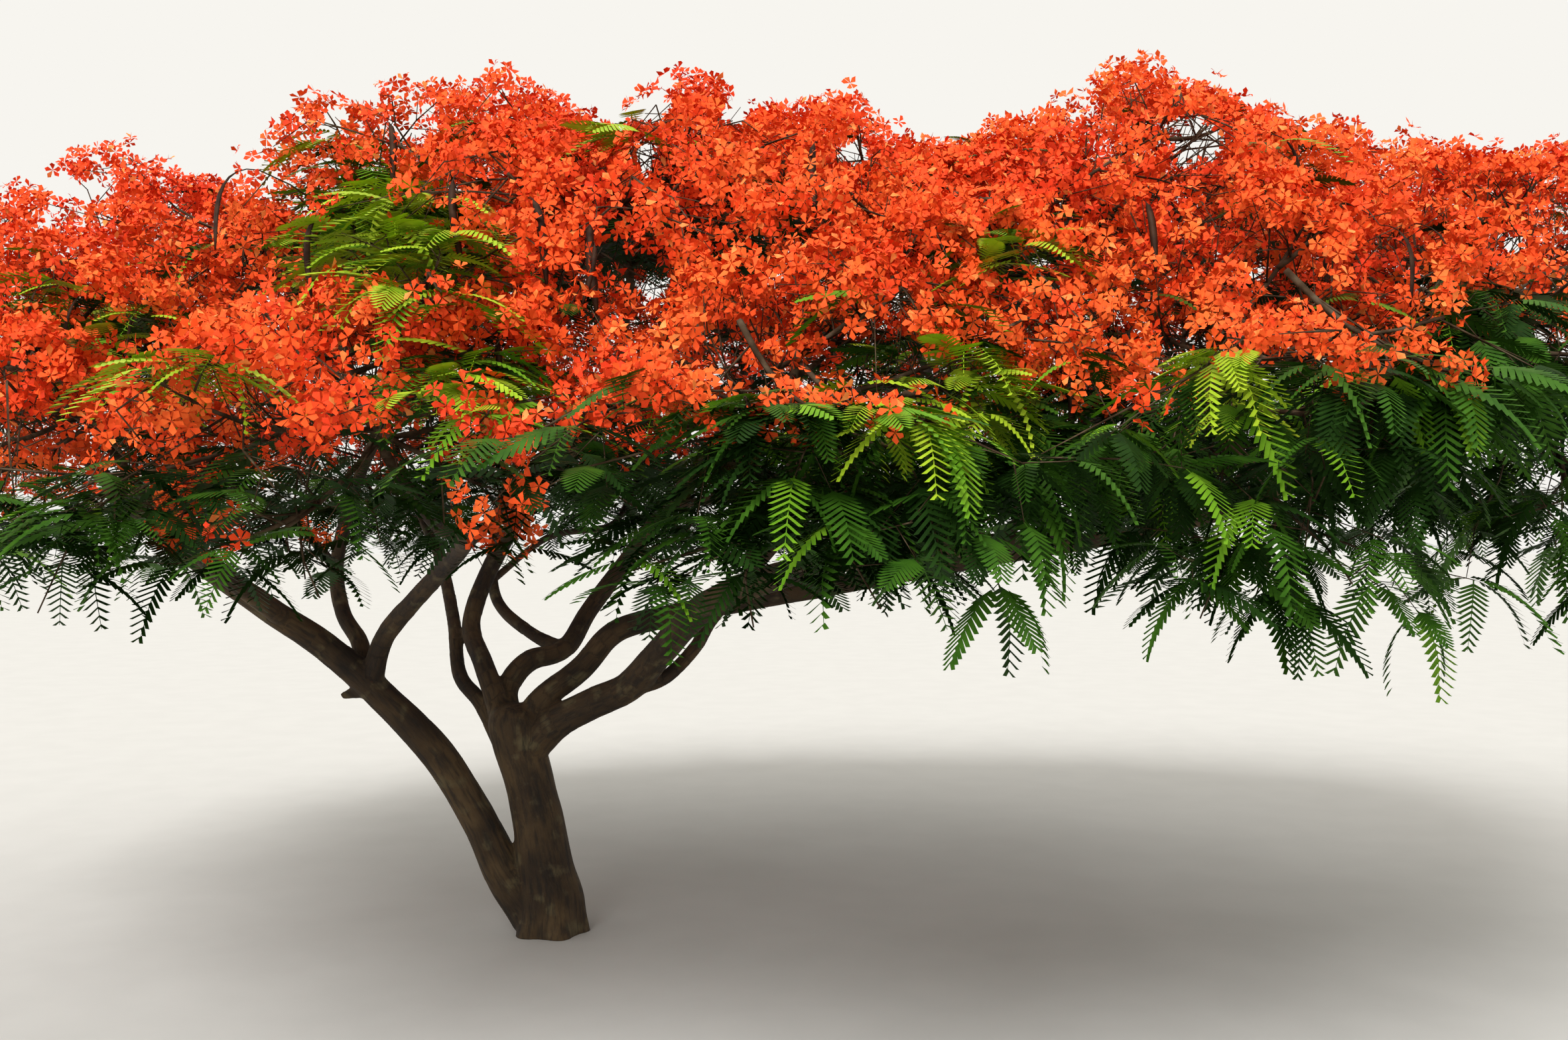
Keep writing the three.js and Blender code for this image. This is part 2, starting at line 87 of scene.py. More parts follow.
# A smooth curve through points: one cubic for each span, its end slopes weighted by the fourth
# roots of the squared distances between the points. run is the length up to each of its steps.
def splineThrough(points, count=400):
    points = np.array(points, float)
    padded = np.vstack([2 * points[0] - points[1], points, 2 * points[-1] - points[-2]])
    gaps = (((padded[1:] - padded[:-1]) ** 2).sum(axis=1) ** 0.25)[:, None]
    before, span, after = gaps[:-2], gaps[1:-1], gaps[2:]
    p0, p1, p2, p3 = padded[:-3], padded[1:-2], padded[2:-1], padded[3:]
    leave = ((p1 - p0) / before - (p2 - p0) / (before + span) + (p2 - p1) / span) * span
    arrive = ((p2 - p1) / span - (p3 - p1) / (span + after) + (p3 - p2) / after) * span
    cubics = np.stack([p1, leave, 3 * (p2 - p1) - 2 * leave - arrive, 2 * (p1 - p2) + leave + arrive])
    steps = np.linspace(0, 1, count + 1)
    pieces = np.linalg.norm(np.diff(splinePoint(cubics, steps), axis=0), axis=1)
    return {"cubics": cubics, "steps": steps, "run": np.concatenate([[0], np.cumsum(pieces)])}


# Points at shares of the spans: a + bt + ct^2 + dt^3 in the span that holds the share
def splinePoint(cubics, share):
    scaled = np.clip(np.atleast_1d(share), 0, 1) * cubics.shape[1]
    index = np.minimum(scaled.astype(int), cubics.shape[1] - 1)
    part = (scaled - index)[:, None]
    a, b, c, d = cubics[:, index]
    return a + part * (b + part * (c + part * d))


# Points and headings at shares of a spline's own length
def alongSpline(spline, share, nudge=0.0001):
    run = spline["run"]
    step = np.interp(np.atleast_1d(share) * run[-1], run, spline["steps"])
    ahead = splinePoint(spline["cubics"], step + nudge)
    behind = splinePoint(spline["cubics"], step - nudge)
    return splinePoint(spline["cubics"], step), unit(ahead - behind)


# The growth rule, as in the CAD source: masses on an umbrella of rings, and limbs that reach them

crown = {
    "middleX": 1900,
    "ringWidth": 7600,
    "ringDepth": 5500,
    "rimHeight": 4350,
    "doming": 3050,
    "fullness": 0.6,
    "shoulder": 0.75,
    "lean": 0.035,
    "evening": 0.06,
    "firstSeed": 101,
    "seedStep": 17,
    "airGap": 4,
    "margin": 480,
}

# name, count, share of the ellipse, turn, spread, rise, height of the skirt, lowest rib
rings = [
    ["top", 4, 0.22, 50, 1850, 700, 5500, -16],
    ["middle", 9, 0.56, 13, 1850, 700, 4800, -24],
    ["rim", 13, 0.88, -4, 1850, 750, 3250, -72],
]

moved = {
    "top_4": [0, 0, -200],
    "middle_5": [200, 0, 300],
    "middle_8": [0, 0, -250],
    "middle_9": [-700, 0, 200],
    "middle_6": [150, 0, -260],
    "rim_9": [0, 0, -120],
}
leafyMasses = ["middle_6", "rim_4", "rim_7"]

ribRule = {
    "count": 7,
    "highest": 64,
    "riseScatter": 14,
    "turnScatter": 22,
    "firstRoot": 0.35,
    "reach": 0.84,
    "reachScatter": 0.16,
    "shortest": 0.3,
    "sag": 0.05,
    "forkAt": 0.12,
    "forkTurn": 68,
    "forkTurnScatter": 16,
    "forkLength": 0.58,
    "forkLengthScatter": 0.12,
}
fillRule = {"count": 7, "beside": 26, "lowest": -6, "highest": 40, "margin": 120}
stemRule = {"inward": 0.34, "below": 0.52, "hubInward": 0.04, "hubBelow": 0.06, "bend": 0.4}

# name, parent, the mass it runs into, radius at its base and its tip, way-points
mainBoughs = [
    ["left_bough", "trunk", "rim_8", 178, 40, [[-150, 0, 150], [-390, -10, 480], [-620, -50, 990],
     [-980, -120, 1610], [-1480, -240, 2180], [-1920, -360, 2610], [-2340, -550, 2940]]],
    ["right_bough", "trunk", "rim_12", 150, 40, [[-250, -20, 1600], [50, -80, 1890], [390, -200, 2080],
     [730, -350, 2240], [1070, -750, 2610], [1530, -1400, 3060]]],
    ["upper_right_bough", "trunk", "rim_1", 118, 38, [[-290, 30, 1750], [-110, 0, 2060],
     [280, 100, 2380], [560, 200, 2690], [1110, 400, 2840]]],
    ["middle_bough", "trunk", "middle_3", 105, 36, [[-330, 90, 1800], [-430, 230, 2150],
     [-270, 380, 2400], [40, 600, 2500], [250, 900, 2860]]],
    ["back_left_bough", "trunk", "top_2", 100, 36, [[-380, 0, 1750], [-540, 100, 2180],
     [-650, 250, 2390], [-850, 700, 2790]]],
    ["slim_bough", "trunk", "rim_6", 78, 30, [[-400, 60, 1600], [-660, 200, 2040], [-880, 350, 2260],
     [-1040, 800, 2730]]],
    ["left_inner_bough", "left_bough", "rim_10", 92, 34, [[-1560, -250, 2240], [-1410, -400, 2660],
     [-1000, -900, 3060], [-580, -1500, 3390]]],
    ["left_rising_bough", "left_bough", "middle_5", 80, 30, [[-1640, -260, 2340], [-1700, -60, 2600],
     [-1930, 200, 2870], [-2100, 600, 3340]]],
    ["middle_fork", "middle_bough", "middle_4", 62, 28, [[40, 600, 2500], [-320, 900, 2630],
     [-780, 1500, 2970]]],
    ["right_low_bough", "right_bough", "middle_9", 64, 28, [[730, -350, 2240], [1050, -420, 2330],
     [1350, -300, 2620], [1450, -200, 2800]]],
]

sideLimb = {
    "base": 0.62,
    "thickest": 78,
    "tip": 32,
    "earliest": 0.34,
    "latest": 0.86,
    "step": 0.02,
    "apart": 0.07,
    "leastSlant": 0.2,
    "turnCost": 1.6,
    "swing": 0.9,
    "thinnest": 1.2,  # a bough's radius there, over the limb's tip
}
limbRule = {"taper": 0.62, "leave": 0.38, "arrive": 0.3, "roundAt": [0.36, 0.7], "clearance": 0.4}


# The umbrella's height: it falls off from the crown's middle as an ellipse does, tilted to one side
def roofHeight(turn, share):
    fall = (crown["shoulder"] * math.cos(turn)) ** 2 + math.sin(turn) ** 2
    dome = (1 - share * share * fall) ** crown["fullness"]
    tilt = crown["lean"] * crown["ringWidth"] * share * math.cos(turn)
    return crown["rimHeight"] + crown["doming"] * dome + tilt


# A mass under the roof at its turn round a ring, with the foot and the hub of its stem, both drawn
# inward and down from its centre
def placeMass(ring, index, seed):
    name, count, share, ringTurn, spread, rise, skirt, lowest = ring
    even = math.radians(ringTurn + 360 * index / count)
    turn = even + crown["evening"] * math.sin(2 * even)
    across = crown["middleX"] + crown["ringWidth"] * share * math.cos(turn)
    back = crown["ringDepth"] * share * math.sin(turn)
    centre = np.array([across, back, roofHeight(turn, share) - rise])
    fullName = f"{name}_{index + 1}"
    centre += moved.get(fullName, [0, 0, 0])
    outward = np.array([math.cos(turn), math.sin(turn), 0])
    drop = centre[2] - skirt
    stemStart = centre - outward * stemRule["inward"] * spread
    stemStart[2] -= stemRule["below"] * min(drop, spread)
    hub = centre - outward * stemRule["hubInward"] * spread
    hub[2] -= stemRule["hubBelow"] * drop
    return {
        "name": fullName,
        "seed": seed,
        "centre": centre,
        "outward": outward,
        "sideways": np.cross(upward, outward),
        "drop": drop,
        "spread": spread,
        "rise": rise,
        "lowest": lowest,
        "stemStart": stemStart,
        "hub": hub,
        "leafy": fullName in leafyMasses,
    }


# Each mass's own space ends at the planes half way to the others
def placeMasses():
    masses = []
    for ring in rings:
        for index in range(ring[1]):
            masses.append(placeMass(ring, index, crown["firstSeed"] + crown["seedStep"] * len(masses)))
    centres = np.array([mass["centre"] for mass in masses])
    for index, mass in enumerate(masses):
        between = np.delete(centres, index, axis=0) - mass["centre"]
        mass["normals"] = unit(between)
        mass["limits"] = np.linalg.norm(between, axis=1) / 2 - crown["airGap"]
    return masses


# A limb thins from its base to its tip by a power of the way that is left
def limbRadius(limb, share):
    return limb["tip"] + (limb["base"] - limb["tip"]) * (1 - share) ** limbRule["taper"]


# Way-points on the cubic curve from a start and its heading into the foot of a mass's stem: start,
# leave, arrive and end, times r^3, 3 r^2 s, 3 r s^2 and s^3, where r is 1 - s
def approach(start, heading, mass):
    end = mass["stemStart"]
    reach = np.linalg.norm(end - start)
    leave = start + heading * reach * limbRule["leave"]
    arrive = end - unit(mass["hub"] - end) * reach * limbRule["arrive"]
    points = []
    for s in limbRule["roundAt"]:
        r = 1 - s
        points.append(r**3 * start + 3 * r * r * s * leave + 3 * r * s * s * arrive + s**3 * end)
    return points + [end]


# A limb's curve through its way-points, and its mass's stem: three points of a quadratic that goes
# on in the limb's own line and bends to the hub
def finishLimb(limb, points):
    limb["spline"] = splineThrough(points)
    limb["length"] = limb["spline"]["run"][-1]
    limb["joints"] = []
    mass = limb["mass"]
    heading = alongSpline(limb["spline"], 1)[1][0]
    foot = mass["stemStart"] + heading * limbRule["clearance"]
    bend = foot + heading * stemRule["bend"] * np.linalg.norm(foot - mass["hub"])
    mass["stem"] = np.array([foot, bend, mass["hub"]])
    return limb


# The cheapest way to a mass: the distance from a bough, made longer by the turn it asks for
def sideLimbFor(mass, limbs):
    best = None
    for bough in limbs:
        share = sideLimb["earliest"]
        shares = []
        while share <= sideLimb["latest"]:
            shares.append(share)
            share += sideLimb["step"]
        starts, tangents = alongSpline(bough["spline"], shares)
        for share, start, tangent in zip(shares, starts, tangents):
            if any(abs(joint - share) < sideLimb["apart"] for joint in bough["joints"]):
                continue
            across = mass["stemStart"] - start
            distance = np.linalg.norm(across)
            slant = tangent @ across / distance
            thin = limbRadius(bough, share) < sideLimb["tip"] * sideLimb["thinnest"]
            if thin or slant < sideLimb["leastSlant"]:
                continue
            cost = distance * (1 + sideLimb["turnCost"] * (1 - slant) ** 2)
            if best is None or cost < best[0]:
                best = [cost, bough, share, start, tangent, across / distance]
    cost, bough, share, start, tangent, across = best
    bough["joints"].append(share)
    base = min(sideLimb["thickest"], limbRadius(bough, share) * sideLimb["base"])
    heading = unit(tangent + across * sideLimb["swing"])
    limb = {"name": f"limb_to_{mass['name']}", "base": base, "tip": sideLimb["tip"], "mass": mass}
    return finishLimb(limb, [start] + approach(start, heading, mass))


# The main boughs, then a side limb to each mass without one, from the trunk outwards
def growLimbs(masses):
    byName = {mass["name"]: mass for mass in masses}
    limbs = []
    for name, parent, into, base, tip, way in mainBoughs:
        way = [np.array(point, float) for point in way]
        limb = {"name": name, "base": base, "tip": tip, "mass": byName[into]}
        limbs.append(finishLimb(limb, way + approach(way[-1], unit(way[-1] - way[-2]), byName[into])))
    reached = [limb["mass"]["name"] for limb in limbs]
    waiting = [mass for mass in masses if mass["name"] not in reached]
    waiting.sort(key=lambda mass: np.linalg.norm(mass["centre"]))
    for mass in waiting:
        limbs.append(sideLimbFor(mass, limbs))
    return limbs


# A twig stops where its head of blossom still has room inside the mass's own space
def layTwig(mass, root, aim, random, margin):
    before = mass["limits"] - margin - mass["normals"] @ (root - mass["centre"])
    onward = mass["normals"] @ (aim - root)
    ahead = onward > 0
    room = (before[ahead] / onward[ahead]).min(initial=1)
    tip = root + (aim - root) * room
    length = np.linalg.norm(tip - root)
    middle = (root + tip) / 2 - upward * ribRule["sag"] * length
    for draw in range(2):  # the CAD source's draws for blossom and leaves, to stay in step with it
        random()
    return {"root": root, "middle": middle, "tip": tip, "length": length, "room": room}


# A rib from its share of the way up the stem to a point at its rise and turn round the mass
def layRib(mass, share, rise, turn, reach, random, margin):
    foot, bend, hub = mass["stem"]
    s = ribRule["firstRoot"] + (1 - ribRule["firstRoot"]) * share
    root = (1 - s) ** 2 * foot + 2 * s * (1 - s) * bend + s * s * hub
    level = math.cos(rise) * mass["spread"] * reach
    height = math.sin(rise) * (mass["rise"] if rise > 0 else mass["drop"]) * reach
    aim = mass["centre"] + mass["outward"] * level * math.cos(turn) + upward * height
    aim = aim + mass["sideways"] * level * math.sin(turn)
    return layTwig(mass, root, aim, random, margin)


# Ribs all round a mass's stem, each with one fork, in the order that they grow, and then thinner
# ribs beside them that fill the empty turns: high where the first rib there is low
def growTwigs(mass):
    random = seededRandom(mass["seed"])

    def scatter(width):
        return (random() - 0.5) * width

    def scatteredRib(share, rise, turn, margin):
        rise = math.radians(rise + scatter(ribRule["riseScatter"]))
        turn = math.radians(turn + scatter(ribRule["turnScatter"]))
        reach = ribRule["reach"] + scatter(ribRule["reachScatter"])
        return layRib(mass, share, rise, turn, reach, random, margin)

    phase = random() * 360
    twigs = []
    for number in range(ribRule["count"]):
        share = (number + 0.5) / ribRule["count"]
        rise = mass["lowest"] + (ribRule["highest"] - mass["lowest"]) * share
        rib = scatteredRib(share, rise, phase + number * goldenTurn, crown["margin"])
        side = 1 if number % 2 else -1
        angle = side * math.radians(ribRule["forkTurn"] + scatter(ribRule["forkTurnScatter"]))
        x, y, z = unit(rib["tip"] - rib["middle"])
        cosine, sine = math.cos(angle), math.sin(angle)
        heading = np.array([x * cosine - y * sine, x * sine + y * cosine, z])
        forkLength = ribRule["forkLength"] + scatter(ribRule["forkLengthScatter"])
        fork = rib["middle"] + (rib["tip"] - rib["middle"]) * ribRule["forkAt"]
        forkTip = fork + heading * rib["length"] * forkLength
        twigs += [rib, layTwig(mass, fork, forkTip, random, crown["margin"])]
    for number in range(fillRule["count"]):
        share = (number + 0.5) / fillRule["count"]
        rise = fillRule["highest"] + (fillRule["lowest"] - fillRule["highest"]) * share
        turn = phase + fillRule["beside"] + number * goldenTurn
        twigs.append(scatteredRib(1 - share, rise, turn, fillRule["margin"]))
    return [twig for twig in twigs if twig["room"] >= ribRule["shortest"]]


masses = placeMasses()
limbs = growLimbs(masses)
print("rule:", len(masses), "masses and", len(limbs), "limbs")

# Materials


# An empty material and two short ways to fill it. add makes a node of a kind: it sets the inputs that
# are given as values, and links those that are given as outputs. surface ends it with a shader.
def newMaterial(name):
    material = bpy.data.materials.new(name)
    material.use_nodes = True
    tree = material.node_tree
    tree.nodes.clear()

    def add(kind, inputs):
        node = tree.nodes.new("ShaderNode" + kind)
        for socket, value in inputs.items():
            if isinstance(value, bpy.types.NodeSocket):
                tree.links.new(value, node.inputs[socket])
            else:
                node.inputs[socket].default_value = value
        return node

    def surface(inputs):
        add("OutputMaterial", {"Surface": add("BsdfPrincipled", inputs).outputs["BSDF"]})
        return material

    return add, surface


# Noise on a coordinate, spread between colours that stand evenly from place to place of its range
def noiseColours(add, coordinate, scale, colours, detail=3.0, places=(0.36, 0.64)):
    noise = add("TexNoise", {"Vector": coordinate, "Scale": scale, "Detail": detail})
    ramp = add("ValToRGB", {"Fac": noise.outputs["Fac"]})
    while len(ramp.color_ramp.elements) < len(colours):
        ramp.color_ramp.elements.new(0.5)
    stops = zip(ramp.color_ramp.elements, np.linspace(*places, len(colours)), colours)
    for element, place, colour in stops:
        element.position = place
        element.color = (*colour, 1)
    return ramp.outputs["Color"]


softLook = {"gloss": 0.10, "veinDepth": 0.002, "veinStrength": 0.5}


# Petals and leaflets: a base colour that drifts a little from place to place, with fine veins
def softMaterial(name, colours, roughness, patch, vein, veinDepth=softLook["veinDepth"]):
    add, surface = newMaterial(name)
    place = add("TexCoord", {}).outputs["Object"]
    colour = noiseColours(add, place, patch, colours)
    fine = add("TexNoise", {"Vector": place, "Scale": vein, "Detail": 2.0})
    veins = {"Distance": veinDepth, "Strength": softLook["veinStrength"], "Height": fine.outputs["Fac"]}
    bump = add("Bump", veins).outputs["Normal"]
    gloss = softLook["gloss"]
    return surface(
        {"Base Color": colour, "Roughness": roughness, "Specular IOR Level": gloss, "Normal": bump}
    )


# The finishes of leaves or petals, from rows of a name, a roughness, the patches' size and colours
def softMaterials(look):
    rows = look["finishes"]
    return [softMaterial(name, colours, *rest, look["vein"]) for name, *rest, colours in rows]


barkLook = {
    # the bark's own browns, made much darker as painted shade for the trunk under the crown
    "colours": [(0.024, 0.012, 0.003), (0.047, 0.026, 0.008), (0.080, 0.047, 0.017)],
    "patch": 2.2,
    "lichen": (0.100, 0.076, 0.034),
    "lichenScale": 5.5,
    "lichenOver": (0.56, 0.70),  # the noise at which lichen starts and is full
    "fissureScale": 26,
    "fissureDepth": 0.006,
    # painted shade in the fissures: the colour is multiplied down where the fissure noise is low
    "fissurePaintedShade": {"From Min": 0.36, "From Max": 0.55, "To Min": 0.35, "To Max": 1.0},
    "grainScale": 130,
    "grainDepth": 0.0015,
    "roughness": {"To Min": 0.76, "To Max": 0.98},
}


# Bark: brown patches darkened as painted shade, pale lichen on some of them, fissures drawn out along
# each limb's own grain and darkened as painted shade
def barkMaterial(look):
    add, surface = newMaterial("bark_relief")
    grain = add("Attribute", {})
    grain.attribute_name = "grain"
    grain = grain.outputs["Vector"]
    place = add("TexCoord", {}).outputs["Object"]
    patches = noiseColours(add, place, look["patch"], look["colours"], 6.0)
    black, white = (0, 0, 0), (1, 1, 1)
    spots = noiseColours(add, place, look["lichenScale"], [black, white], 8.0, look["lichenOver"])
    lichen = add("MixRGB", {"Fac": spots, "Color1": patches, "Color2": (*look["lichen"], 1)})
    fissure = {"Vector": grain, "Scale": look["fissureScale"], "Detail": 5.0, "Roughness": 0.6}
    fissure = add("TexNoise", fissure).outputs["Fac"]
    # painted shade: the bark is darker in the fissures
    dark = add("MapRange", {"Value": fissure, **look["fissurePaintedShade"]}).outputs["Result"]
    shade = add("MixRGB", {"Fac": 1.0, "Color1": lichen.outputs["Color"], "Color2": dark})
    shade.blend_type = "MULTIPLY"
    fine = add("TexNoise", {"Vector": grain, "Scale": look["grainScale"], "Detail": 3.0}).outputs["Fac"]
    rough = add("MapRange", {"Value": fine, **look["roughness"]}).outputs["Result"]
    relief = add("Bump", {"Distance": look["fissureDepth"], "Height": fissure}).outputs["Normal"]
    relief = {"Distance": look["grainDepth"], "Height": fine, "Normal": relief}
    relief = add("Bump", relief).outputs["Normal"]
    return surface({"Base Color": shade.outputs["Color"], "Roughness": rough, "Normal": relief})


# Meshes


# A mesh of triangles, with one material number for each of them
def triangleMesh(name, vertices, triangles, materials=(), materialIndex=None):
    mesh = bpy.data.meshes.new(name)
    mesh.vertices.add(len(vertices))
    mesh.vertices.foreach_set("co", np.ascontiguousarray(vertices, np.float32).ravel())
    mesh.loops.add(triangles.size)
    mesh.loops.foreach_set("vertex_index", np.ascontiguousarray(triangles, np.int32).ravel())
    mesh.polygons.add(len(triangles))
    mesh.polygons.foreach_set("loop_start", np.arange(0, triangles.size, 3, dtype=np.int32))
    mesh.update(calc_edges=True)
    mesh.polygons.foreach_set("use_smooth", np.ones(len(triangles), bool))
    for material in materials:
        mesh.materials.append(material)
    if materialIndex is not None:
        mesh.polygons.foreach_set("material_index", np.ascontiguousarray(materialIndex, np.int32))
    mesh.update()
    return mesh


# Puts a new object into the scene
def addObject(name, data):
    thing = bpy.data.objects.new(name, data)
    bpy.context.scene.collection.objects.link(thing)
    return thing


# A piece of the tree: what it moves with, and the CAD nodes that it stands for
def addPiece(mesh, nodes):
    piece = addObject(mesh.name, mesh)
    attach(piece, "root")
    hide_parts(*nodes)


# A shape's faces again for each of its copies, their numbers moved on by its corners each time
def copyFaces(faces, corners, count):
    return (faces[None] + (np.arange(count) * corners)[:, None, None]).reshape(-1, 3)


# Shapes that are each corners and faces, put together as one
def joinParts(parts):
    counts = np.cumsum([0] + [len(part[0]) for part in parts[:-1]])
    vertices = np.vstack([part[0] for part in parts])
    return vertices, np.vstack([part[1] + count for part, count in zip(parts, counts)])


# Faces over rings of corners: two triangles in each cell of the wall, and a fan over each end
def ringFaces(rings, sides):
    here = np.arange(sides)
    after = (here + 1) % sides
    low = (np.arange(rings - 1) * sides)[:, None]
    walls = np.stack([low + here, low + after, low + after + sides, low + here + sides], axis=-1)
    walls = walls.reshape(-1, 4)[:, [0, 1, 2, 0, 2, 3]].reshape(-1, 3)
    fan = np.stack([np.zeros(sides - 2, int), np.arange(1, sides - 1), np.arange(2, sides)], axis=1)
    return np.vstack([walls, fan[:, ::-1], fan + (rings - 1) * sides])


# Tubes round many paths at once. points: paths x rings x 3, radii: paths x rings. Each ring's
# corners stand round the path's tangent, from a side direction that is the same all along a path.
def tubes(points, radii, sides):
    count, rings = radii.shape
    tangent = unit(np.gradient(points, axis=1))
    whole = unit(points[:, -1] - points[:, 0])
    side = unit(np.cross(whole, helperFor(whole, 0.9)))[:, None, :]
    side = unit(side - tangent * (side * tangent).sum(axis=2, keepdims=True))
    other = np.cross(tangent, side)
    turn = np.arange(sides) * 2 * math.pi / sides
    ring = side[:, :, None] * np.cos(turn)[:, None] + other[:, :, None] * np.sin(turn)[:, None]
    corners = points[:, :, None] + ring * radii[:, :, None, None]
    return corners.reshape(-1, 3), copyFaces(ringFaces(rings, sides), rings * sides, count)


# For each direction an axis that isn't near it: z, or x where the direction itself is steep
def helperFor(direction, steep):
    return np.where(np.abs(direction[:, 2:3]) < steep, [[0.0, 0.0, 1.0]], [[1.0, 0.0, 0.0]])


# Three axes for each direction: the third along it, the first turned round it by an angle
def axesAlong(direction, turn):
    third = unit(direction)
    level = unit(np.cross(helperFor(third, 0.95), third))
    across = np.cross(third, level)
    first = level * np.cos(turn)[:, None] + across * np.sin(turn)[:, None]
    return np.stack([first, np.cross(third, first), third], axis=1)


# Copies of small shapes with the same faces, a pick of them for each copy: its corners are the
# shape's along three axes, times a size, from an origin. axes: copies x 3 x 3, a row for each axis
def scatterShapes(shapes, pick, origins, axes, sizes):
    corners = np.stack([shape[0] for shape in shapes])[pick]
    corners = np.einsum("nvk,nkj->nvj", corners, axes) * sizes[:, None, None] + origins[:, None]
    return corners.reshape(-1, 3), copyFaces(shapes[0][1], corners.shape[1], len(origins))


# Joins groups of equal shapes into pieces, whole masses together, each piece with as many masses as
# keep it under a number of triangles. A group: its shapes, the mass of each, and each face's tone.
def joinByMass(name, groups, materials, most=190000):
    faceCounts = [len(shapes[1]) // len(owner) for shapes, owner, tone in groups]
    perMass = np.zeros(len(masses), int)
    for (shapes, owner, tone), faces in zip(groups, faceCounts):
        perMass += faces * np.bincount(owner, minlength=len(masses))
    pieceOf = np.zeros(len(masses), int)
    filled = 0
    for number, more in enumerate(perMass):
        if filled + more > most:
            pieceOf[number:] += 1
            filled = 0
        filled += more
    for piece in range(pieceOf[-1] + 1):
        parts, tones = [], []
        for ((vertices, triangles), owner, tone), faces in zip(groups, faceCounts):
            mine = pieceOf[owner] == piece
            corners = len(vertices) // len(owner)
            some = vertices.reshape(len(owner), corners, 3)[mine].reshape(-1, 3)
            parts.append([some, copyFaces(triangles[:faces], corners, mine.sum())])
            tones.append(tone.reshape(len(owner), faces)[mine].ravel())
        mesh = triangleMesh(f"{name}_{piece + 1}", *joinParts(parts), materials, np.concatenate(tones))
        nodes = [f"mass_{masses[i]['name']}" for i in np.flatnonzero((pieceOf == piece) & (perMass > 0))]
        addPiece(mesh, nodes)
    print(f"{name}: {perMass.sum()} triangles in {pieceOf[-1] + 1} pieces")


# Bark: trunk and limbs, fused by a voxel remesh, then given the relief of bark

trunk = {
    "sides": 56,
    "levels": 60,
    "flutes": 5,
    "fluteDepth": 0.11,
    "fluteHeight": 330,
    "flutePhase": 0.6,
    "below": 60,
    # height, place across, radius
    "sections": [[0, 10, 320], [110, 10, 304], [360, 0, 282], [640, -50, 254], [1000, -108, 236],
                 [1340, -186, 229], [1690, -280, 238], [1900, -312, 244], [2010, -318, 200],
                 [2070, -318, 90]],
}
barkShape = {
    "limbSides": 18,
    "ringStep": 45,
    "fewestRings": 8,
    "collar": 0.22,  # extra share of the radius where a limb leaves
    "collarLength": 300,
    "heavyFrom": 58,  # radius over which a bough is part of the fused trunk mesh
    "overlap": 3,  # rings that the fused mesh and the rest of a bough share
    "stub": [(-1.50, -0.24, 2.24), (-1.82, -0.25, 2.16)],  # a broken stub on the left bough
    "stubRadius": [0.085, 0.036],
    "stubRings": 6,
    "voxel": 0.020,
    "smoothing": [0.5, 7],  # share of each step, steps
}
barkRelief = {
    "axisTop": 2.0,
    "axisPoints": 45,
    "everyRing": 3,
    "runShift": 3.7,  # keeps one limb's grain apart from the next one's
    "drawnOut": 7.0,
    "lumpWave": 0.34,
    "lumpDepth": 0.013,
    "ridgeWave": 0.052,
    "ridgeDepth": 0.0085,
    "ridgeLevel": 0.4,
    "fineWave": 0.02,
    "fineDepth": 0.003,
    "noises": [3, 5, 9],  # numbers of the three noises
    "fullRadius": 0.15,
    "least": 0.25,
    "batch": 4000,
}


# The trunk's rings from its flat foot up: the sections' radii by height, waved round the foot by the
# flutes, a cosine of the turn that fades with the height
def trunkRings():
    spline = splineThrough(trunk["sections"])
    level = alongSpline(spline, np.linspace(0, 1, trunk["levels"]))[0]
    level = np.vstack([level[:1] - [[trunk["below"], 0, 0]], level])
    turn = np.arange(trunk["sides"]) * 2 * math.pi / trunk["sides"]
    fade = np.exp(-np.maximum(level[:, 0], 0) / trunk["fluteHeight"])[:, None]
    wave = trunk["fluteDepth"] * fade * np.cos(trunk["flutes"] * turn + trunk["flutePhase"])
    wide = level[:, 2:3] * (1 + wave)
    high = np.repeat(level[:, :1], trunk["sides"], axis=1)
    ring = np.stack([level[:, 1:2] + np.cos(turn) * wide, -np.sin(turn) * wide, high], axis=-1)
    return ring[:, ::-1] * metre


# Each limb's path, headings and radii, with a collar that fades away from where it leaves, and how
# many of its rings are in the fused mesh
def limbPaths():
    rows = []
    for limb in limbs:
        count = max(barkShape["fewestRings"], int(limb["length"] / barkShape["ringStep"]))
        share = np.linspace(0, 1, count)
        points, tangents = alongSpline(limb["spline"], share)
        collar = barkShape["collar"] * np.exp(-share * limb["length"] / barkShape["collarLength"])
        radii = limbRadius(limb, share)
        heavy = 0 if limb["name"] in sideNodes else int((radii > barkShape["heavyFrom"]).sum())
        rows.append([points * metre, tangents, radii * (1 + collar) * metre, heavy])
    return rows


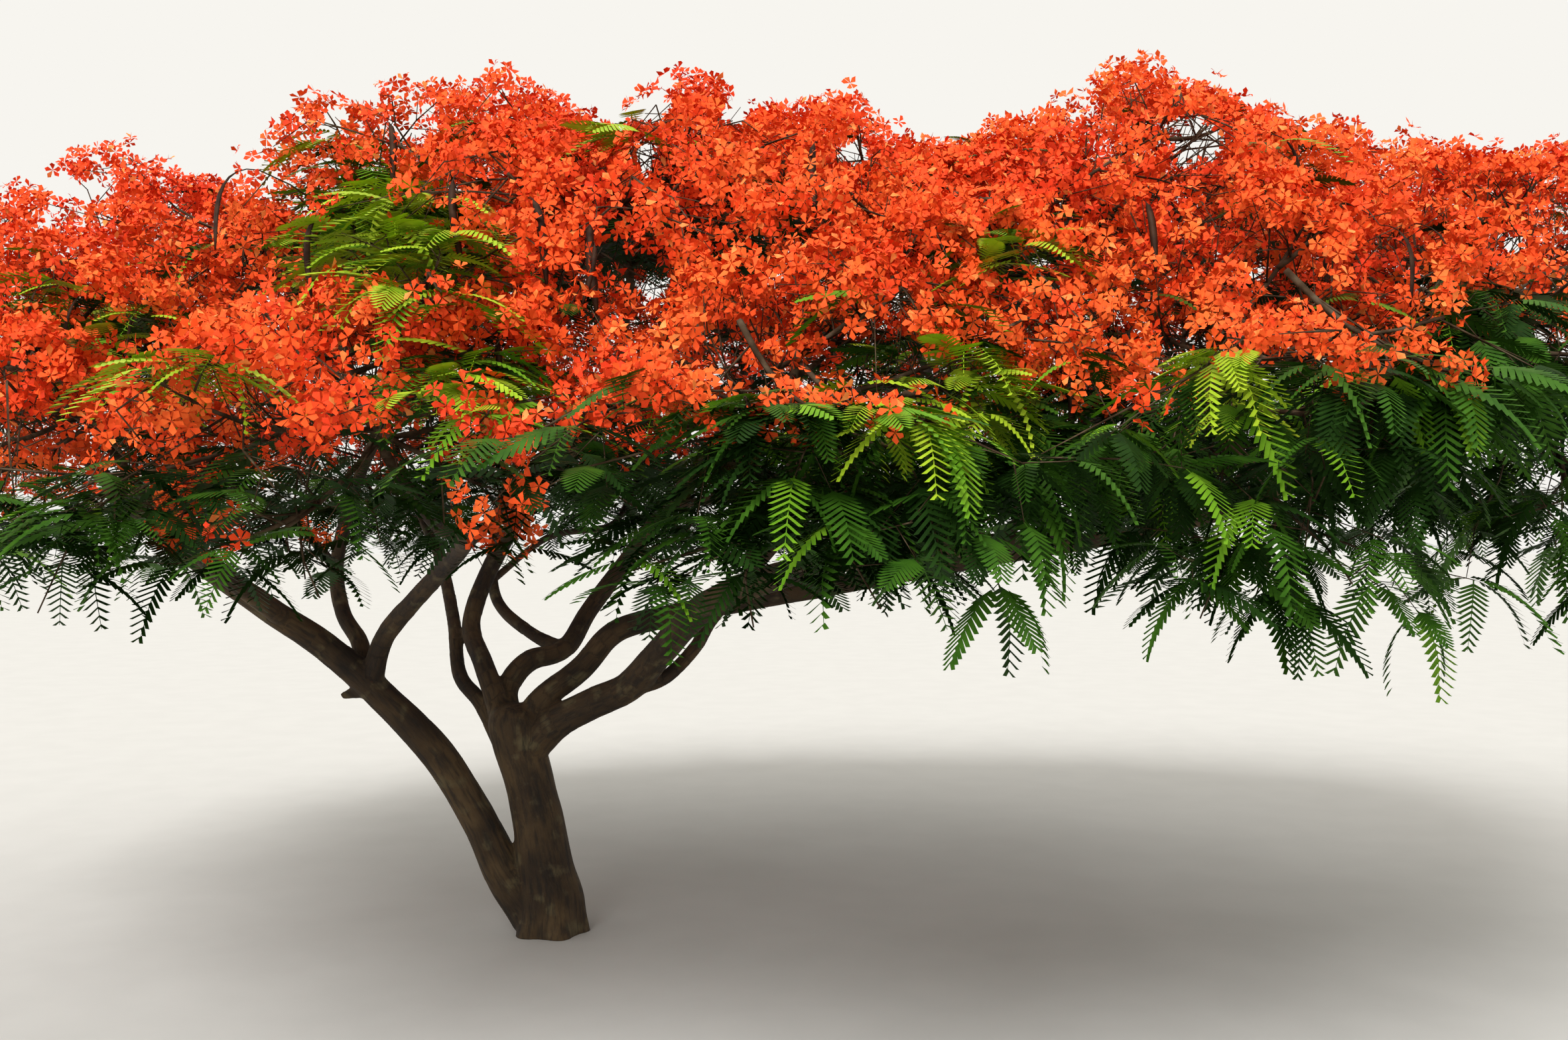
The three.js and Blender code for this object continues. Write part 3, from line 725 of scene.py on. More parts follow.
# The trunk and the thick parts of its boughs, fused into one skin by a voxel remesh
def growHeavyBark(paths):
    look = barkShape
    ring = trunkRings()
    parts = [[ring.reshape(-1, 3), ringFaces(*ring.shape[:2])]]
    for points, tangents, radii, heavy in paths:
        if heavy >= look["overlap"]:
            parts.append(tubes(points[None, :heavy], radii[None, :heavy], look["limbSides"]))
    share = np.linspace(0, 1, look["stubRings"])[:, None]
    stub = np.array(look["stub"][0]) * (1 - share) + np.array(look["stub"][1]) * share
    thick, thin = look["stubRadius"]
    parts.append(tubes(stub[None], thick + (thin - thick) * share.T, look["limbSides"]))
    rough = triangleMesh("bark_rough", *joinParts(parts))
    base = addObject("bark_rough", rough)
    remesh = base.modifiers.new("remesh", "REMESH")
    remesh.mode = "VOXEL"
    remesh.voxel_size = look["voxel"]
    smooth = base.modifiers.new("smooth", "SMOOTH")
    smooth.factor, smooth.iterations = look["smoothing"]
    graph = bpy.context.evaluated_depsgraph_get()
    mesh = bpy.data.meshes.new_from_object(base.evaluated_get(graph))
    bpy.data.objects.remove(base)
    bpy.data.meshes.remove(rough)
    mesh.name = "bark_trunk"
    return mesh


# The thin ends of the boughs, and the side limbs
def growLightBark(paths):
    parts = []
    for points, tangents, radii, heavy in paths:
        start = max(0, heavy - barkShape["overlap"])
        parts.append(tubes(points[None, start:], radii[None, start:], barkShape["limbSides"]))
    return triangleMesh("bark_limbs", *joinParts(parts))


# The centre lines of the trunk and of all limbs, thinned: places, headings, radii and lengths run
def barkAxes(paths):
    look = barkRelief
    heights = np.linspace(0, look["axisTop"], look["axisPoints"])
    level, across, thick = np.array(trunk["sections"], float).T * metre
    axis = np.interp(heights, level, across)
    up = np.tile(upward, (len(heights), 1))
    rows = [[np.stack([axis, 0 * axis, heights], axis=1), up, np.interp(heights, level, thick), heights]]
    for number, (points, tangents, radii, heavy) in enumerate(paths):
        steps = np.linalg.norm(np.diff(points, axis=0), axis=1)
        run = np.concatenate([[0], np.cumsum(steps)]) + number * look["runShift"]
        rows.append([values[:: look["everyRing"]] for values in (points, tangents, radii, run)])
    return [np.concatenate(column) for column in zip(*rows)]


# Noise in each limb's own grain: across the limb at full scale, along it drawn out. A corner moves
# along its normal by lumps, ridges and fine grain, less on thin limbs.
def reliefOnBark(mesh, paths):
    look = barkRelief
    count = len(mesh.vertices)
    corner, normal = np.empty((2, count * 3), np.float32)
    mesh.vertices.foreach_get("co", corner)
    mesh.vertex_normals.foreach_get("vector", normal)
    corner = corner.reshape(-1, 3).astype(float)
    normal = normal.reshape(-1, 3).astype(float)
    middles, headings, radii, runs = barkAxes(paths)
    nearest = np.empty(count, int)
    for start in range(0, count, look["batch"]):
        some = slice(start, start + look["batch"])
        away = np.linalg.norm(corner[some, None] - middles[None], axis=2) / radii
        nearest[some] = away.argmin(axis=1)
    heading = headings[nearest]
    offset = corner - middles[nearest]
    along = (offset * heading).sum(axis=1)
    across = offset - along[:, None] * heading
    grain = across + heading * ((runs[nearest] + along) / look["drawnOut"])[:, None]
    forLump, forRidge, forFine = look["noises"]
    lump = valueNoise(corner / look["lumpWave"], forLump) - 0.5
    ridge = np.abs(valueNoise(grain / look["ridgeWave"], forRidge) - 0.5) * 2
    fine = valueNoise(grain / look["fineWave"], forFine) - 0.5
    push = lump * look["lumpDepth"] + (ridge - look["ridgeLevel"]) * look["ridgeDepth"]
    push = push + fine * look["fineDepth"]
    size = np.clip(radii[nearest] / look["fullRadius"], look["least"], 1.0)
    corner = corner + normal * (push * size)[:, None]
    corner[:, 2] = np.maximum(corner[:, 2], 0)
    mesh.vertices.foreach_set("co", corner.astype(np.float32).ravel())
    attribute = mesh.attributes.new("grain", "FLOAT_VECTOR", "POINT")
    attribute.data.foreach_set("vector", grain.astype(np.float32).ravel())
    mesh.materials.clear()
    mesh.materials.append(bark)
    mesh.polygons.foreach_set("use_smooth", np.ones(len(mesh.polygons), bool))
    mesh.update()


bark = barkMaterial(barkLook)
sideNodes = [limb["name"] for limb in limbs if limb["name"].startswith("limb_to")]
boughNodes = [limb["name"] for limb in limbs if limb["name"] not in sideNodes]
limbLines = limbPaths()
heavyBark = growHeavyBark(limbLines)
lightBark = growLightBark(limbLines)
for mesh, nodes in [[heavyBark, ["trunk"] + boughNodes], [lightBark, sideNodes + boughNodes]]:
    reliefOnBark(mesh, limbLines)
    addPiece(mesh, nodes)
    print(mesh.name, sum(len(p.vertices) - 2 for p in mesh.polygons), "triangles")

# Twigs: the rule's own, then two finer orders on them

twigLook = {
    "seed": 7,
    "colours": [(0.035, 0.020, 0.010), (0.065, 0.040, 0.022), (0.11, 0.078, 0.048)],
    # radii at the foot and the tip, sides, steps
    "stems": [[0.036, 0.026], 8, 5],
    "ribs": [[0.021, 0.010], 5, 5],
    "second": [[0.009, 0.0055], 3, 2],
    "third": [[0.005, 0.003], 3, 1],
}
# where finer twigs leave, and their length, turn from the parent, lift and room to move on the level
secondRule = {"at": [0.16, 0.31, 0.45, 0.59, 0.72, 0.86, 1.0],
              "length": 0.54, "spread": 1.0, "lift": 0.16, "spare": 0.38}
thirdRule = {"at": [0.30, 0.55, 0.80, 1.0], "length": 0.58, "spread": 0.95, "lift": 0.20, "spare": 0.20}
sproutRule = {
    "atScatter": 0.05,
    "lowestAt": 0.05,
    "turnScatter": [0.8, 1.2],
    "lengthScatter": [0.75, 1.25],
    "longest": 1.2,  # at the parent's foot, shortened towards its tip
    "shortened": 0.4,
    "endFrom": 0.93,  # twigs from here on go on nearly straight
    "endTurn": 0.35,
    "bend": 0.12,
}

# The crown's top line, from left to right: how far its crests and dips stand over the even umbrella,
# and how far ribs that fall short of it are raised
topLine = {
    "at": [-4.5, -3.9, -3.4, -2.8, -2.4, -1.9, -1.6, -1.2, -0.6, -0.3, 0.0, 0.9, 1.3, 1.9, 2.6, 3.3, 4.0,
           4.7, 5.4, 6.0, 6.5, 6.95, 7.2, 7.7, 8.1],
    "over": [-0.46, 0.04, 0.12, -0.32, -0.70, -0.86, -0.40, 0.08, 0.20, -0.38, 0.02, -0.52, -0.08, -0.36,
             -0.28, -0.72, -0.42, 0.06, -0.18, -0.30, -0.12, -0.38, -0.27, -0.24, -0.06],
    "liftAt": [-4.5, -3.6, -2.5, -1.5, -0.9, 0.0, 1.6, 2.4, 3.2, 6.4, 7.3, 8.2, 9.5],
    "lift": [0.1, 0.42, 0.0, 0.0, 0.2, 0.0, 0.0, 0.25, 0.0, 0.0, 0.3, 0.15, 0.0],
    "liftFrom": 4.8,
    "liftOver": 1.6,
    "lump": 0.22,
    "wave": 0.5,
    "noise": 17,
    "mostFall": 0.98,  # keeps the roof from dropping to nothing at the crown's rim
    "endDown": 0.95,  # how much of what stands over the roof the ends and the bends lose
    "bendDown": 0.6,
    "edge": [7.9, 6.15],  # half the width and half the depth that the twigs' tips keep to
    "pull": 0.75,
}
crownMiddle = np.array([crown["middleX"] * metre, 0])


# A quadratic path for each twig: (1 - s)^2 start + 2 s (1 - s) bend + s^2 end, at many shares s, and
# its headings, 2 (1 - s) (bend - start) + 2 s (end - bend)
def alongTwigs(twigs, share):
    start, bend, end = twigs["start"][:, None], twigs["bend"][:, None], twigs["end"][:, None]
    s = share[..., None]
    points = (1 - s) ** 2 * start + 2 * s * (1 - s) * bend + s * s * end
    return points, unit(2 * (1 - s) * (bend - start) + 2 * s * (end - bend))


# Directions across each tangent: turned from its level side towards its rising side
def turnAcross(tangent, turn):
    level = unit(np.cross(tangent, upward))
    return level * np.cos(turn)[..., None] + np.cross(level, tangent) * np.sin(turn)[..., None]


# Finer twigs at shares along their parents, each turned by the golden angle from the last. A twig
# heads between its parent's heading and a direction across it, lifted, and bows along the parent.
def sprout(parents, rule, rng):
    look = sproutRule
    count = len(parents["start"])
    jitter = rng.uniform(-look["atScatter"], look["atScatter"], (count, len(rule["at"])))
    shares = np.clip(np.array(rule["at"])[None] + jitter, look["lowestAt"], 1)
    foot, tangent = alongTwigs(parents, shares)
    golden = np.arange(shares.shape[1]) * math.radians(goldenTurn)
    turn = rng.uniform(0, 2 * math.pi, (count, 1)) + golden
    ahead = np.where(shares > look["endFrom"], look["endTurn"], 1.0) * rule["spread"]
    ahead = (ahead * rng.uniform(*look["turnScatter"], shares.shape))[..., None]
    heading = tangent * np.cos(ahead) + turnAcross(tangent, turn) * np.sin(ahead) + upward * rule["lift"]
    heading = unit(heading)
    whole = np.linalg.norm(parents["end"] - parents["start"], axis=1)[:, None] * rule["length"]
    length = whole * rng.uniform(*look["lengthScatter"], shares.shape)
    length = (length * (look["longest"] - look["shortened"] * shares))[..., None]
    twigs = {"start": foot, "bend": foot + heading * length * 0.5 + tangent * length * look["bend"]}
    twigs["end"] = foot + heading * length
    twigs = {key: points.reshape(-1, 3) for key, points in twigs.items()}
    return twigs | {"mass": np.repeat(parents["mass"], shares.shape[1])}


# Raises bends and ends by the top line's lift at their x, more the higher they are
def raiseRibs(twigs):
    for key in ("bend", "end"):
        raised = np.clip((twigs[key][:, 2] - topLine["liftFrom"]) / topLine["liftOver"], 0, 1)
        twigs[key][:, 2] += np.interp(twigs[key][:, 0], topLine["liftAt"], topLine["lift"]) * raised
    return twigs


# Bends twigs that would stand above the umbrella's roof, changed by the top line and a little noise,
# down under it, and pulls those that would stand out past its edge back towards the middle
def underRoof(twigs):
    look = topLine
    end = twigs["end"]
    x = (end[:, 0] / metre - crown["middleX"]) / crown["ringWidth"]
    y = end[:, 1] / metre / crown["ringDepth"]
    fall = np.clip((crown["shoulder"] * x) ** 2 + y * y, 0, look["mostFall"])
    roof = crown["rimHeight"] + crown["doming"] * (1 - fall) ** crown["fullness"]
    roof = (roof + crown["lean"] * crown["ringWidth"] * x) * metre
    roof = roof + np.interp(end[:, 0], look["at"], look["over"])
    roof = roof + look["lump"] * (valueNoise(end * flat / look["wave"], look["noise"]) - 0.5)
    over = np.maximum(end[:, 2] - roof, 0)
    end[:, 2] -= over * look["endDown"]
    twigs["bend"][:, 2] -= over * look["bendDown"]
    level = end[:, :2] - crownMiddle
    out = np.linalg.norm(level / look["edge"], axis=1)
    pull = 1 - look["pull"] * np.clip(out - 1, 0, None) / np.maximum(out, 1)
    end[:, :2] = crownMiddle + level * pull[:, None]
    return twigs


spreadRule = {
    "grid": 0.15,
    "border": 4,
    "blurs": 3,
    "least": 0.5,  # added to the count, so that a lone end isn't sent off
    "gain": 0.60,
    "inner": [0.80, 0.95],  # shares of the way to the crown's edge where the moves fade out
}


# Moves the ends of twigs on the level towards thin places: down the slope of a blurred count of them
# on a plan grid, divided by that count, by reach at the most and not near the crown's edge
def spreadEnds(twigs, reach):
    look = spreadRule
    level = twigs["end"][:, :2]
    cell = level / look["grid"]
    column, row = np.round(cell - cell.min(axis=0) + look["border"]).astype(int).T
    count = np.zeros((column.max() + look["border"], row.max() + look["border"]))
    np.add.at(count, (column, row), 1)
    for blur in range(look["blurs"]):
        for axis in (0, 1):
            count = (np.roll(count, 1, axis) + 2 * count + np.roll(count, -1, axis)) / 4
    slope = np.stack(np.gradient(count))[:, column, row] / (count[column, row] + look["least"])
    move = -slope.T * look["gain"]
    move *= np.minimum(1, reach / np.maximum(np.linalg.norm(move, axis=1), 1e-9))[:, None]
    out = np.linalg.norm((level - crownMiddle) / topLine["edge"], axis=1)
    twigs["end"][:, :2] = level + move * np.interp(out, look["inner"], [1, 0])[:, None]
    return twigs


# Twigs in metres from the rule's three points each, and the number of each one's mass
def asTwigs(starts, bends, ends, mass):
    rows = {"start": starts, "bend": bends, "end": ends}
    return {key: np.array(row) * metre for key, row in rows.items()} | {"mass": np.array(mass)}


# The rule's ribs and forks, with the bend that takes each one's path through its middle
def ruleRibs():
    rows = []
    for number, mass in enumerate(masses):
        for twig in growTwigs(mass):
            root, middle, tip = twig["root"], twig["middle"], twig["tip"]
            rows.append([root, 2 * middle - (root + tip) / 2, tip, number])
    return asTwigs(*zip(*rows))


rng = np.random.default_rng(twigLook["seed"])
stems = asTwigs(*[[mass["stem"][i] for mass in masses] for i in range(3)], np.arange(len(masses)))
ribs = underRoof(raiseRibs(ruleRibs()))
second = spreadEnds(underRoof(sprout(ribs, secondRule, rng)), secondRule["spare"])
third = spreadEnds(underRoof(sprout(second, thirdRule, rng)), thirdRule["spare"])
print("twigs:", len(ribs["mass"]), "ribs,", len(second["mass"]), "second,", len(third["mass"]), "third")

# Where blossom and where leaves: blossom on the tips that stand free towards the light above the
# line where the crown turns green, leaves below it, inside, and in a few green places

cameraLook = {"place": (2.12, -13.8, 3.81), "tilt": 89.65, "lens": 35.0, "sensor": 36.0, "reach": 400}

# What the photographed view shows, right and up on the upright plane through the trunk's foot
shown = {
    # sky through the crown: place, half width, half height
    "skyGaps": [
        [5.87, 7.15, 0.21, 0.21], [0.95, 7.44, 0.12, 0.10], [0.86, 7.00, 0.07, 0.15],
        [-4.17, 6.69, 0.12, 0.09], [2.76, 7.02, 0.11, 0.07], [0.93, 5.83, 0.11, 0.08],
        [8.69, 6.23, 0.10, 0.06], [1.66, 7.41, 0.09, 0.10], [4.44, 6.08, 0.09, 0.05],
        [3.14, 5.71, 0.06, 0.06], [8.98, 5.40, 0.07, 0.07], [-1.61, 5.11, 0.09, 0.06],
        [-1.96, 7.37, 0.09, 0.07],
    ],
    "skyMargin": 0.05,
    "skyRagged": [0.9, 0.10, 83],  # depth, size and number of the noise on a gap's edge
    # green in the blossom: place, half width, half height
    "greens": [
        [-1.45, 6.26, 0.85, 0.66], [-0.80, 4.98, 0.80, 0.34], [-3.92, 5.48, 0.42, 0.22],
        [-4.5, 5.75, 0.26, 0.22], [-3.45, 5.02, 0.42, 0.24], [3.42, 4.95, 0.95, 0.42],
        [4.31, 6.08, 0.50, 0.26], [0.70, 7.22, 0.18, 0.14], [-2.0, 7.14, 0.28, 0.16],
        [6.3, 5.0, 0.6, 0.35],
    ],
    "greenRagged": [0.8, 0.3, 71],
    "greenShare": 0.88,
    "greenEdge": [3.2, 3],  # the green is the first less the second times the share of the way out
    "greenBefore": -0.8,  # y
    # low heads of blossom among the leaves: place, reach
    "lowHeads": [
        [-3.15, 3.75, 0.30], [-2.2, 3.72, 0.14], [-0.40, 3.72, 0.26], [0.35, 3.95, 0.16],
        [5.00, 3.62, 0.24],
    ],
    "lowBefore": -1.0,  # y
    # tops of pods: place, reach
    "pods": [
        [-1.43, 7.45, 0.22], [-0.63, 6.88, 0.22], [-0.04, 6.66, 0.22], [0.26, 6.35, 0.22],
        [0.53, 6.56, 0.22], [2.62, 7.07, 0.22], [5.41, 6.42, 0.22],
    ],
}

bearing = {
    "floors": [[-6.0, -2.5, 1.5, 4.5, 5.9, 6.6, 10.0], [4.0, 4.1, 4.35, 4.55, 4.8, 5.35, 5.2]],  # by x
    "behind": 0.06,  # rise of the green line for each metre towards the back
    "soft": 0.45,
    "lightReach": 0.16,
    "lightFrom": 0.1,
    "lightAhead": 1.6,
    "lightUp": 0.9,
    "mostBefore": 7,
    "batch": 400,
    "cell": 0.15,  # one head of blossom in each cell of this size
    "cellNumbers": [1, 1000, 1000000],
    # lowest that leaves spring from, by x
    "skirts": [[-6.0, -2.0, 1.5, 3.5, 5.5, 10.0], [3.6, 3.45, 3.4, 3.35, 3.2, 3.25]],
    "bloomShare": 0.97,
    "leafyShare": 0.55,
    "insideLeaves": [[0.4, 1.6], [0.42, 0.17]],  # by the height over the green line
    "outsideLeaves": 0.04,
    "hollowLeaves": 0.14,
    "underLeaves": 0.62,
    "headSpacing": 0.30,
    "headNoise": 57,
    "hollowFrom": 0.52,  # heads stand where the noise is over this, and hollows lie between them
    "hollowOver": 0.22,
    "hollowBare": 0.12,
}


# Points carried along the camera's line of sight onto the upright plane through the trunk's foot
def onTrunkPlane(points):
    eye = np.array(cameraLook["place"])
    carried = eye + (points - eye) * (-eye[1] / (points[:, 1:2] - eye[1]))
    return carried[:, [0, 2]]


# How far out points lie in each of some ellipses on that plane, as a share of the way to its edge
def shareOut(points, ellipses):
    rows = np.array(ellipses)[:, None]
    return np.linalg.norm((onTrunkPlane(points) - rows[..., :2]) / rows[..., 2:], axis=2)


# Noise round 0 that makes an outline uneven
def ragged(points, rule):
    depth, size, number = rule
    return depth * (valueNoise(points / size, number) - 0.5)


# True for points in a sky gap, widened by a margin with an uneven edge
def inSkyGap(points):
    gaps = np.array(shown["skyGaps"]) + np.array([0, 0, 1, 1]) * shown["skyMargin"]
    return (shareOut(points, gaps) < 1 + ragged(points, shown["skyRagged"])).any(axis=0)


# How green each point is: full inside the green places, and less over their uneven edges
def greenAt(points):
    most, fall = shown["greenEdge"]
    near = shareOut(points, shown["greens"]) + ragged(points, shown["greenRagged"])
    green = shown["greenShare"] * np.clip(most - fall * near, 0, 1).max(axis=0)
    return green * (points[:, 1] < shown["greenBefore"])


# True for points in one of the low heads of blossom
def inLowHead(points):
    inside = (shareOut(points, shown["lowHeads"]) < 1).any(axis=0)
    return inside & (points[:, 1] < shown["lowBefore"])


# The number of other tips that stand in the way of each tip towards its direction
def tipsBefore(points, direction):
    look = bearing
    count = np.zeros(len(points), int)
    for start in range(0, len(points), look["batch"]):
        here = slice(start, start + look["batch"])
        offset = points[None] - points[here, None]
        ahead = np.einsum("nmk,nk->nm", offset, direction[here])
        away = (offset**2).sum(axis=2) - ahead**2
        between = (ahead > look["lightFrom"]) & (ahead < look["lightAhead"])
        count[here] = (between & (away < look["lightReach"] ** 2)).sum(axis=1)
    return count


# Keeps one blossom in each cell of a grid, by a random order
def thinBlossom(blooms, points, rng):
    cell = np.floor(points / bearing["cell"]).astype(int) @ bearing["cellNumbers"]
    order = rng.permutation(len(points))
    order = np.concatenate([order[blooms[order]], order[~blooms[order]]])
    first = np.zeros(len(points), bool)
    first[order[np.unique(cell[order], return_index=True)[1]]] = True
    return blooms & first


# What each tip bears. above runs from 0 under the green line to 1 over it; blossom's chance is above
# where the light is free, less in green places and hollows; leaves take green places, the inside of
# the crown and what lies under the line.
def chooseBearers(tips, rng):
    look = bearing
    place, owner = tips["end"], tips["mass"]
    size = [1 / crown["ringWidth"], 1 / crown["ringDepth"], 0]
    level = (place - [crown["middleX"] * metre, 0, 0]) * size
    towards = unit(unit(level) * flat + upward * look["lightUp"])
    before = tipsBefore(place, towards)
    line = np.interp(place[:, 0], *look["floors"]) + look["behind"] * np.maximum(place[:, 1], 0)
    above = np.clip((place[:, 2] - line) / look["soft"] + 0.5, 0, 1)
    green = greenAt(place)
    heads = valueNoise(place / look["headSpacing"], look["headNoise"])
    hollow = np.clip((look["hollowFrom"] - heads) / look["hollowOver"], 0, 1)
    free = before <= look["mostBefore"]
    leafyMass = np.array([mass["leafy"] for mass in masses])[owner]
    share = np.where(leafyMass, look["leafyShare"], look["bloomShare"])
    bloomChance = above * free * (1 - green) * share * (1 - hollow * look["hollowBare"])
    blooms = (rng.random(len(owner)) < bloomChance) | inLowHead(place)
    blooms = thinBlossom(blooms, place, rng)
    outside = look["outsideLeaves"] + look["hollowLeaves"] * hollow
    inside = np.interp(place[:, 2] - line, *look["insideLeaves"])
    leafChance = np.where(free, outside, inside) * above
    leafChance = leafChance + look["underLeaves"] * (1 - above)
    leafChance = np.maximum(leafChance, green) * ~blooms
    leafy = rng.random(len(owner)) < leafChance
    leafy &= place[:, 2] > np.interp(place[:, 0], *look["skirts"])
    print("tips:", len(owner), "free:", free.sum(), "blossom:", blooms.sum(), "leaves:", leafy.sum())
    found = {"towards": towards, "before": before, "above": above, "green": green, "hollow": hollow}
    return tips | found | {"blooms": blooms, "leafy": leafy}


# Twigs as tubes, from their two radii, sides and steps
def twigTubes(twigs, look):
    radii, sides, steps = look
    share = np.tile(np.linspace(0, 1, steps + 1), (len(twigs["start"]), 1))
    made = tubes(alongTwigs(twigs, share)[0], radii[0] + (radii[1] - radii[0]) * share, sides)
    return [made, twigs["mass"], np.zeros(len(made[1]), int)]


tips = chooseBearers({key: np.concatenate([third[key], second[key]]) for key in third}, rng)

# a fine twig that bears nothing isn't made
bears = (tips["blooms"] | tips["leafy"])[: len(third["mass"])]
third = {key: values[bears] for key, values in third.items()}
orders = {"stems": stems, "ribs": ribs, "second": second, "third": third}
twigGroups = [twigTubes(twigs, twigLook[key]) for key, twigs in orders.items()]
twigBark = softMaterial("twig_bark", twigLook["colours"], roughness=0.85, patch=9.0, vein=160.0)
joinByMass("twigs", twigGroups, [twigBark])


# Copies of what grows at tips, so many for each: their tips, headings along the twig, and turns round
# it that go on by the golden angle from a random one
def aroundTips(mine, count, rng):
    tip = np.repeat(mine, count)
    order = np.concatenate([np.arange(c) for c in count])
    turn = np.repeat(rng.uniform(0, 2 * math.pi, len(mine)), count) + order * math.radians(goldenTurn)
    return tip, order, unit(tips["end"][tip] - tips["start"][tip]), turn


# Fronds: an arching midrib with pairs of feathery pinnae

frondLook = {
    "seed": 11,
    "ribWidth": 0.010,
    "ribNarrowing": 0.7,
    "ribSteps": 3,
    "rise": 0.25,
    "droops": [0.30, 0.50, 0.75],
    "pairs": 12,
    "pairsAt": [0.15, 0.97],
    "pinna": 0.27,
    "bulge": [0.16, 0.76, 0.7],  # a pinna's length: a power of the sine from one share of pi on
    "pinnaBase": 0.037,  # half widths
    "pinnaEnd": 0.021,
    "frontEnd": 0.86,
    "forward": 62,
    "forwardMore": 0.5,
    "hang": 0.16,
    "lengths": [0.34, 0.56],
    "perTip": [2, 3],
    "fullBefore": -0.5,  # y; the low tips before it and right of the next bear one frond more
    "fullFrom": 1.5,
    "along": 0.45,
    "level": 0.25,  # share of the heading's climb that stays
    "climb": [-0.25, 0.10],
    "lowHang": [[-6.0, 0.0, 2.0, 3.5, 10.0], [0.35, 0.15, 0.25, 0.85, 0.85]],  # by x
    "roll": 0.35,
    "down": 0.05,
    "gapShares": (0.1, 0.4, 0.7, 1.0),  # places along a frond that keep out of the sky gaps
}
# The leaves' four greens are steps of painted shade and painted light, dealt by how free each tip stands
# towards the light, with a random scatter
leafTones = {
    # painted light on the fronds in the green places of the crown's top
    "green": 0.7,
    "light": [0.75, 12],  # brightness of a free tip, and the tips in the way that take 1 from it
    "scatter": 0.25,
    # painted shade on the fronds under the green line
    "under": 0.16,
    "steps": [0.46, 0.78, 1.04],
    "vein": 90.0,
    # name, roughness, size of the patches, colours
    "finishes": [
        ["leaf_dark", 0.6, 6.0, [(0.008, 0.027, 0.003), (0.015, 0.047, 0.005)]],
        ["leaf_mid", 0.55, 6.0, [(0.024, 0.078, 0.006), (0.046, 0.128, 0.010)]],
        ["leaf_fresh", 0.55, 6.0, [(0.105, 0.260, 0.012), (0.170, 0.350, 0.018)]],
        ["leaf_bright", 0.5, 6.0, [(0.280, 0.440, 0.018), (0.400, 0.530, 0.030)]],
    ],
}


# A frond of length 1 along x: the midrib's height is rise times x less droop times x squared; each
# pinna is a strap that narrows to a slanted end, longest in the middle of the frond by a power of a
# sine, and turned further forward and down towards the frond's tip
def frondShape(droop):
    look = frondLook
    x = np.linspace(0, 1, look["ribSteps"] + 1)
    z = look["rise"] * x - droop * x * x
    half = look["ribWidth"] * (1 - look["ribNarrowing"] * x)
    midrib = np.stack([np.stack([x, half, z], axis=1), np.stack([x, -half, z], axis=1)], axis=1)
    low = np.arange(look["ribSteps"])[:, None] * 2
    ribFaces = np.concatenate([low + [[0, 1, 3]], low + [[0, 3, 2]]])
    at = np.repeat(np.linspace(*look["pairsAt"], look["pairs"]), 2)
    side = np.tile([1.0, -1.0], look["pairs"])
    first, reach, power = look["bulge"]
    length = look["pinna"] * np.sin(math.pi * (first + reach * at)) ** power
    forward = math.radians(look["forward"]) - look["forwardMore"] * at
    heading = np.stack([np.cos(forward), side * np.sin(forward), -look["hang"] * (0.5 + at)], axis=1)
    heading = unit(heading)
    foot = np.stack([at, 0 * at, look["rise"] * at - droop * at * at], axis=1)
    across = unit(np.cross(heading, upward)) * side[:, None]
    base = np.array([look["pinnaBase"], 0, 0])
    front = foot + heading * (length * look["frontEnd"])[:, None] + across * look["pinnaEnd"]
    rear = foot + heading * length[:, None] - across * look["pinnaEnd"]
    straps = np.stack([foot - base, foot + base, front, rear], axis=1)
    start = len(x) * 2 + np.arange(len(at))[:, None] * 4
    flip = np.where(side[:, None] > 0, [[0, 1, 2, 0, 2, 3]], [[0, 2, 1, 0, 3, 2]])
    faces = np.vstack([ribFaces, (start + flip).reshape(-1, 3)])
    return np.vstack([midrib.reshape(-1, 3), straps.reshape(-1, 3)]), faces


# Fronds round the leafy tips. Each heads out from its twig and a little along it, nearly level, and
# hangs more under the green line; its blades face up with a random roll.
def growFronds():
    look = frondLook
    rng = np.random.default_rng(look["seed"])
    mine = np.flatnonzero(tips["leafy"])
    place, above = tips["end"][mine], tips["above"]
    least, most = look["perTip"]
    count = rng.integers(least, most + 1, len(mine))
    count += (above[mine] < 0.5) & (place[:, 1] < look["fullBefore"]) & (place[:, 0] > look["fullFrom"])
    tip, order, along, turn = aroundTips(mine, count, rng)
    place = tips["end"][tip]
    heading = unit(turnAcross(along, turn) + along * look["along"])
    climb = heading[:, 2] * look["level"] + rng.uniform(*look["climb"], len(tip))
    climb -= (1 - above[tip]) * np.interp(place[:, 0], *look["lowHang"]) * rng.uniform(0, 1, len(tip))
    heading = unit(unit(heading * flat) + upward * climb[:, None])
    third = unit(upward - heading * (heading @ upward)[:, None])
    roll = rng.uniform(-look["roll"], look["roll"], len(tip))
    third = unit(third + np.cross(heading, third) * roll[:, None])
    axes = np.stack([heading, np.cross(third, heading), third], axis=1)
    pick = rng.integers(0, len(look["droops"]), len(tip))
    size = rng.uniform(*look["lengths"], len(tip))
    foot = place - along * rng.uniform(0, look["down"], len(tip))[:, None]
    kept = np.ones(len(tip), bool)
    for share in look["gapShares"]:
        kept &= ~inSkyGap(foot + heading * (size * share)[:, None])
    shapes = [frondShape(droop) for droop in look["droops"]]
    return scatterShapes(shapes, pick[kept], foot[kept], axes[kept], size[kept]), tip[kept]
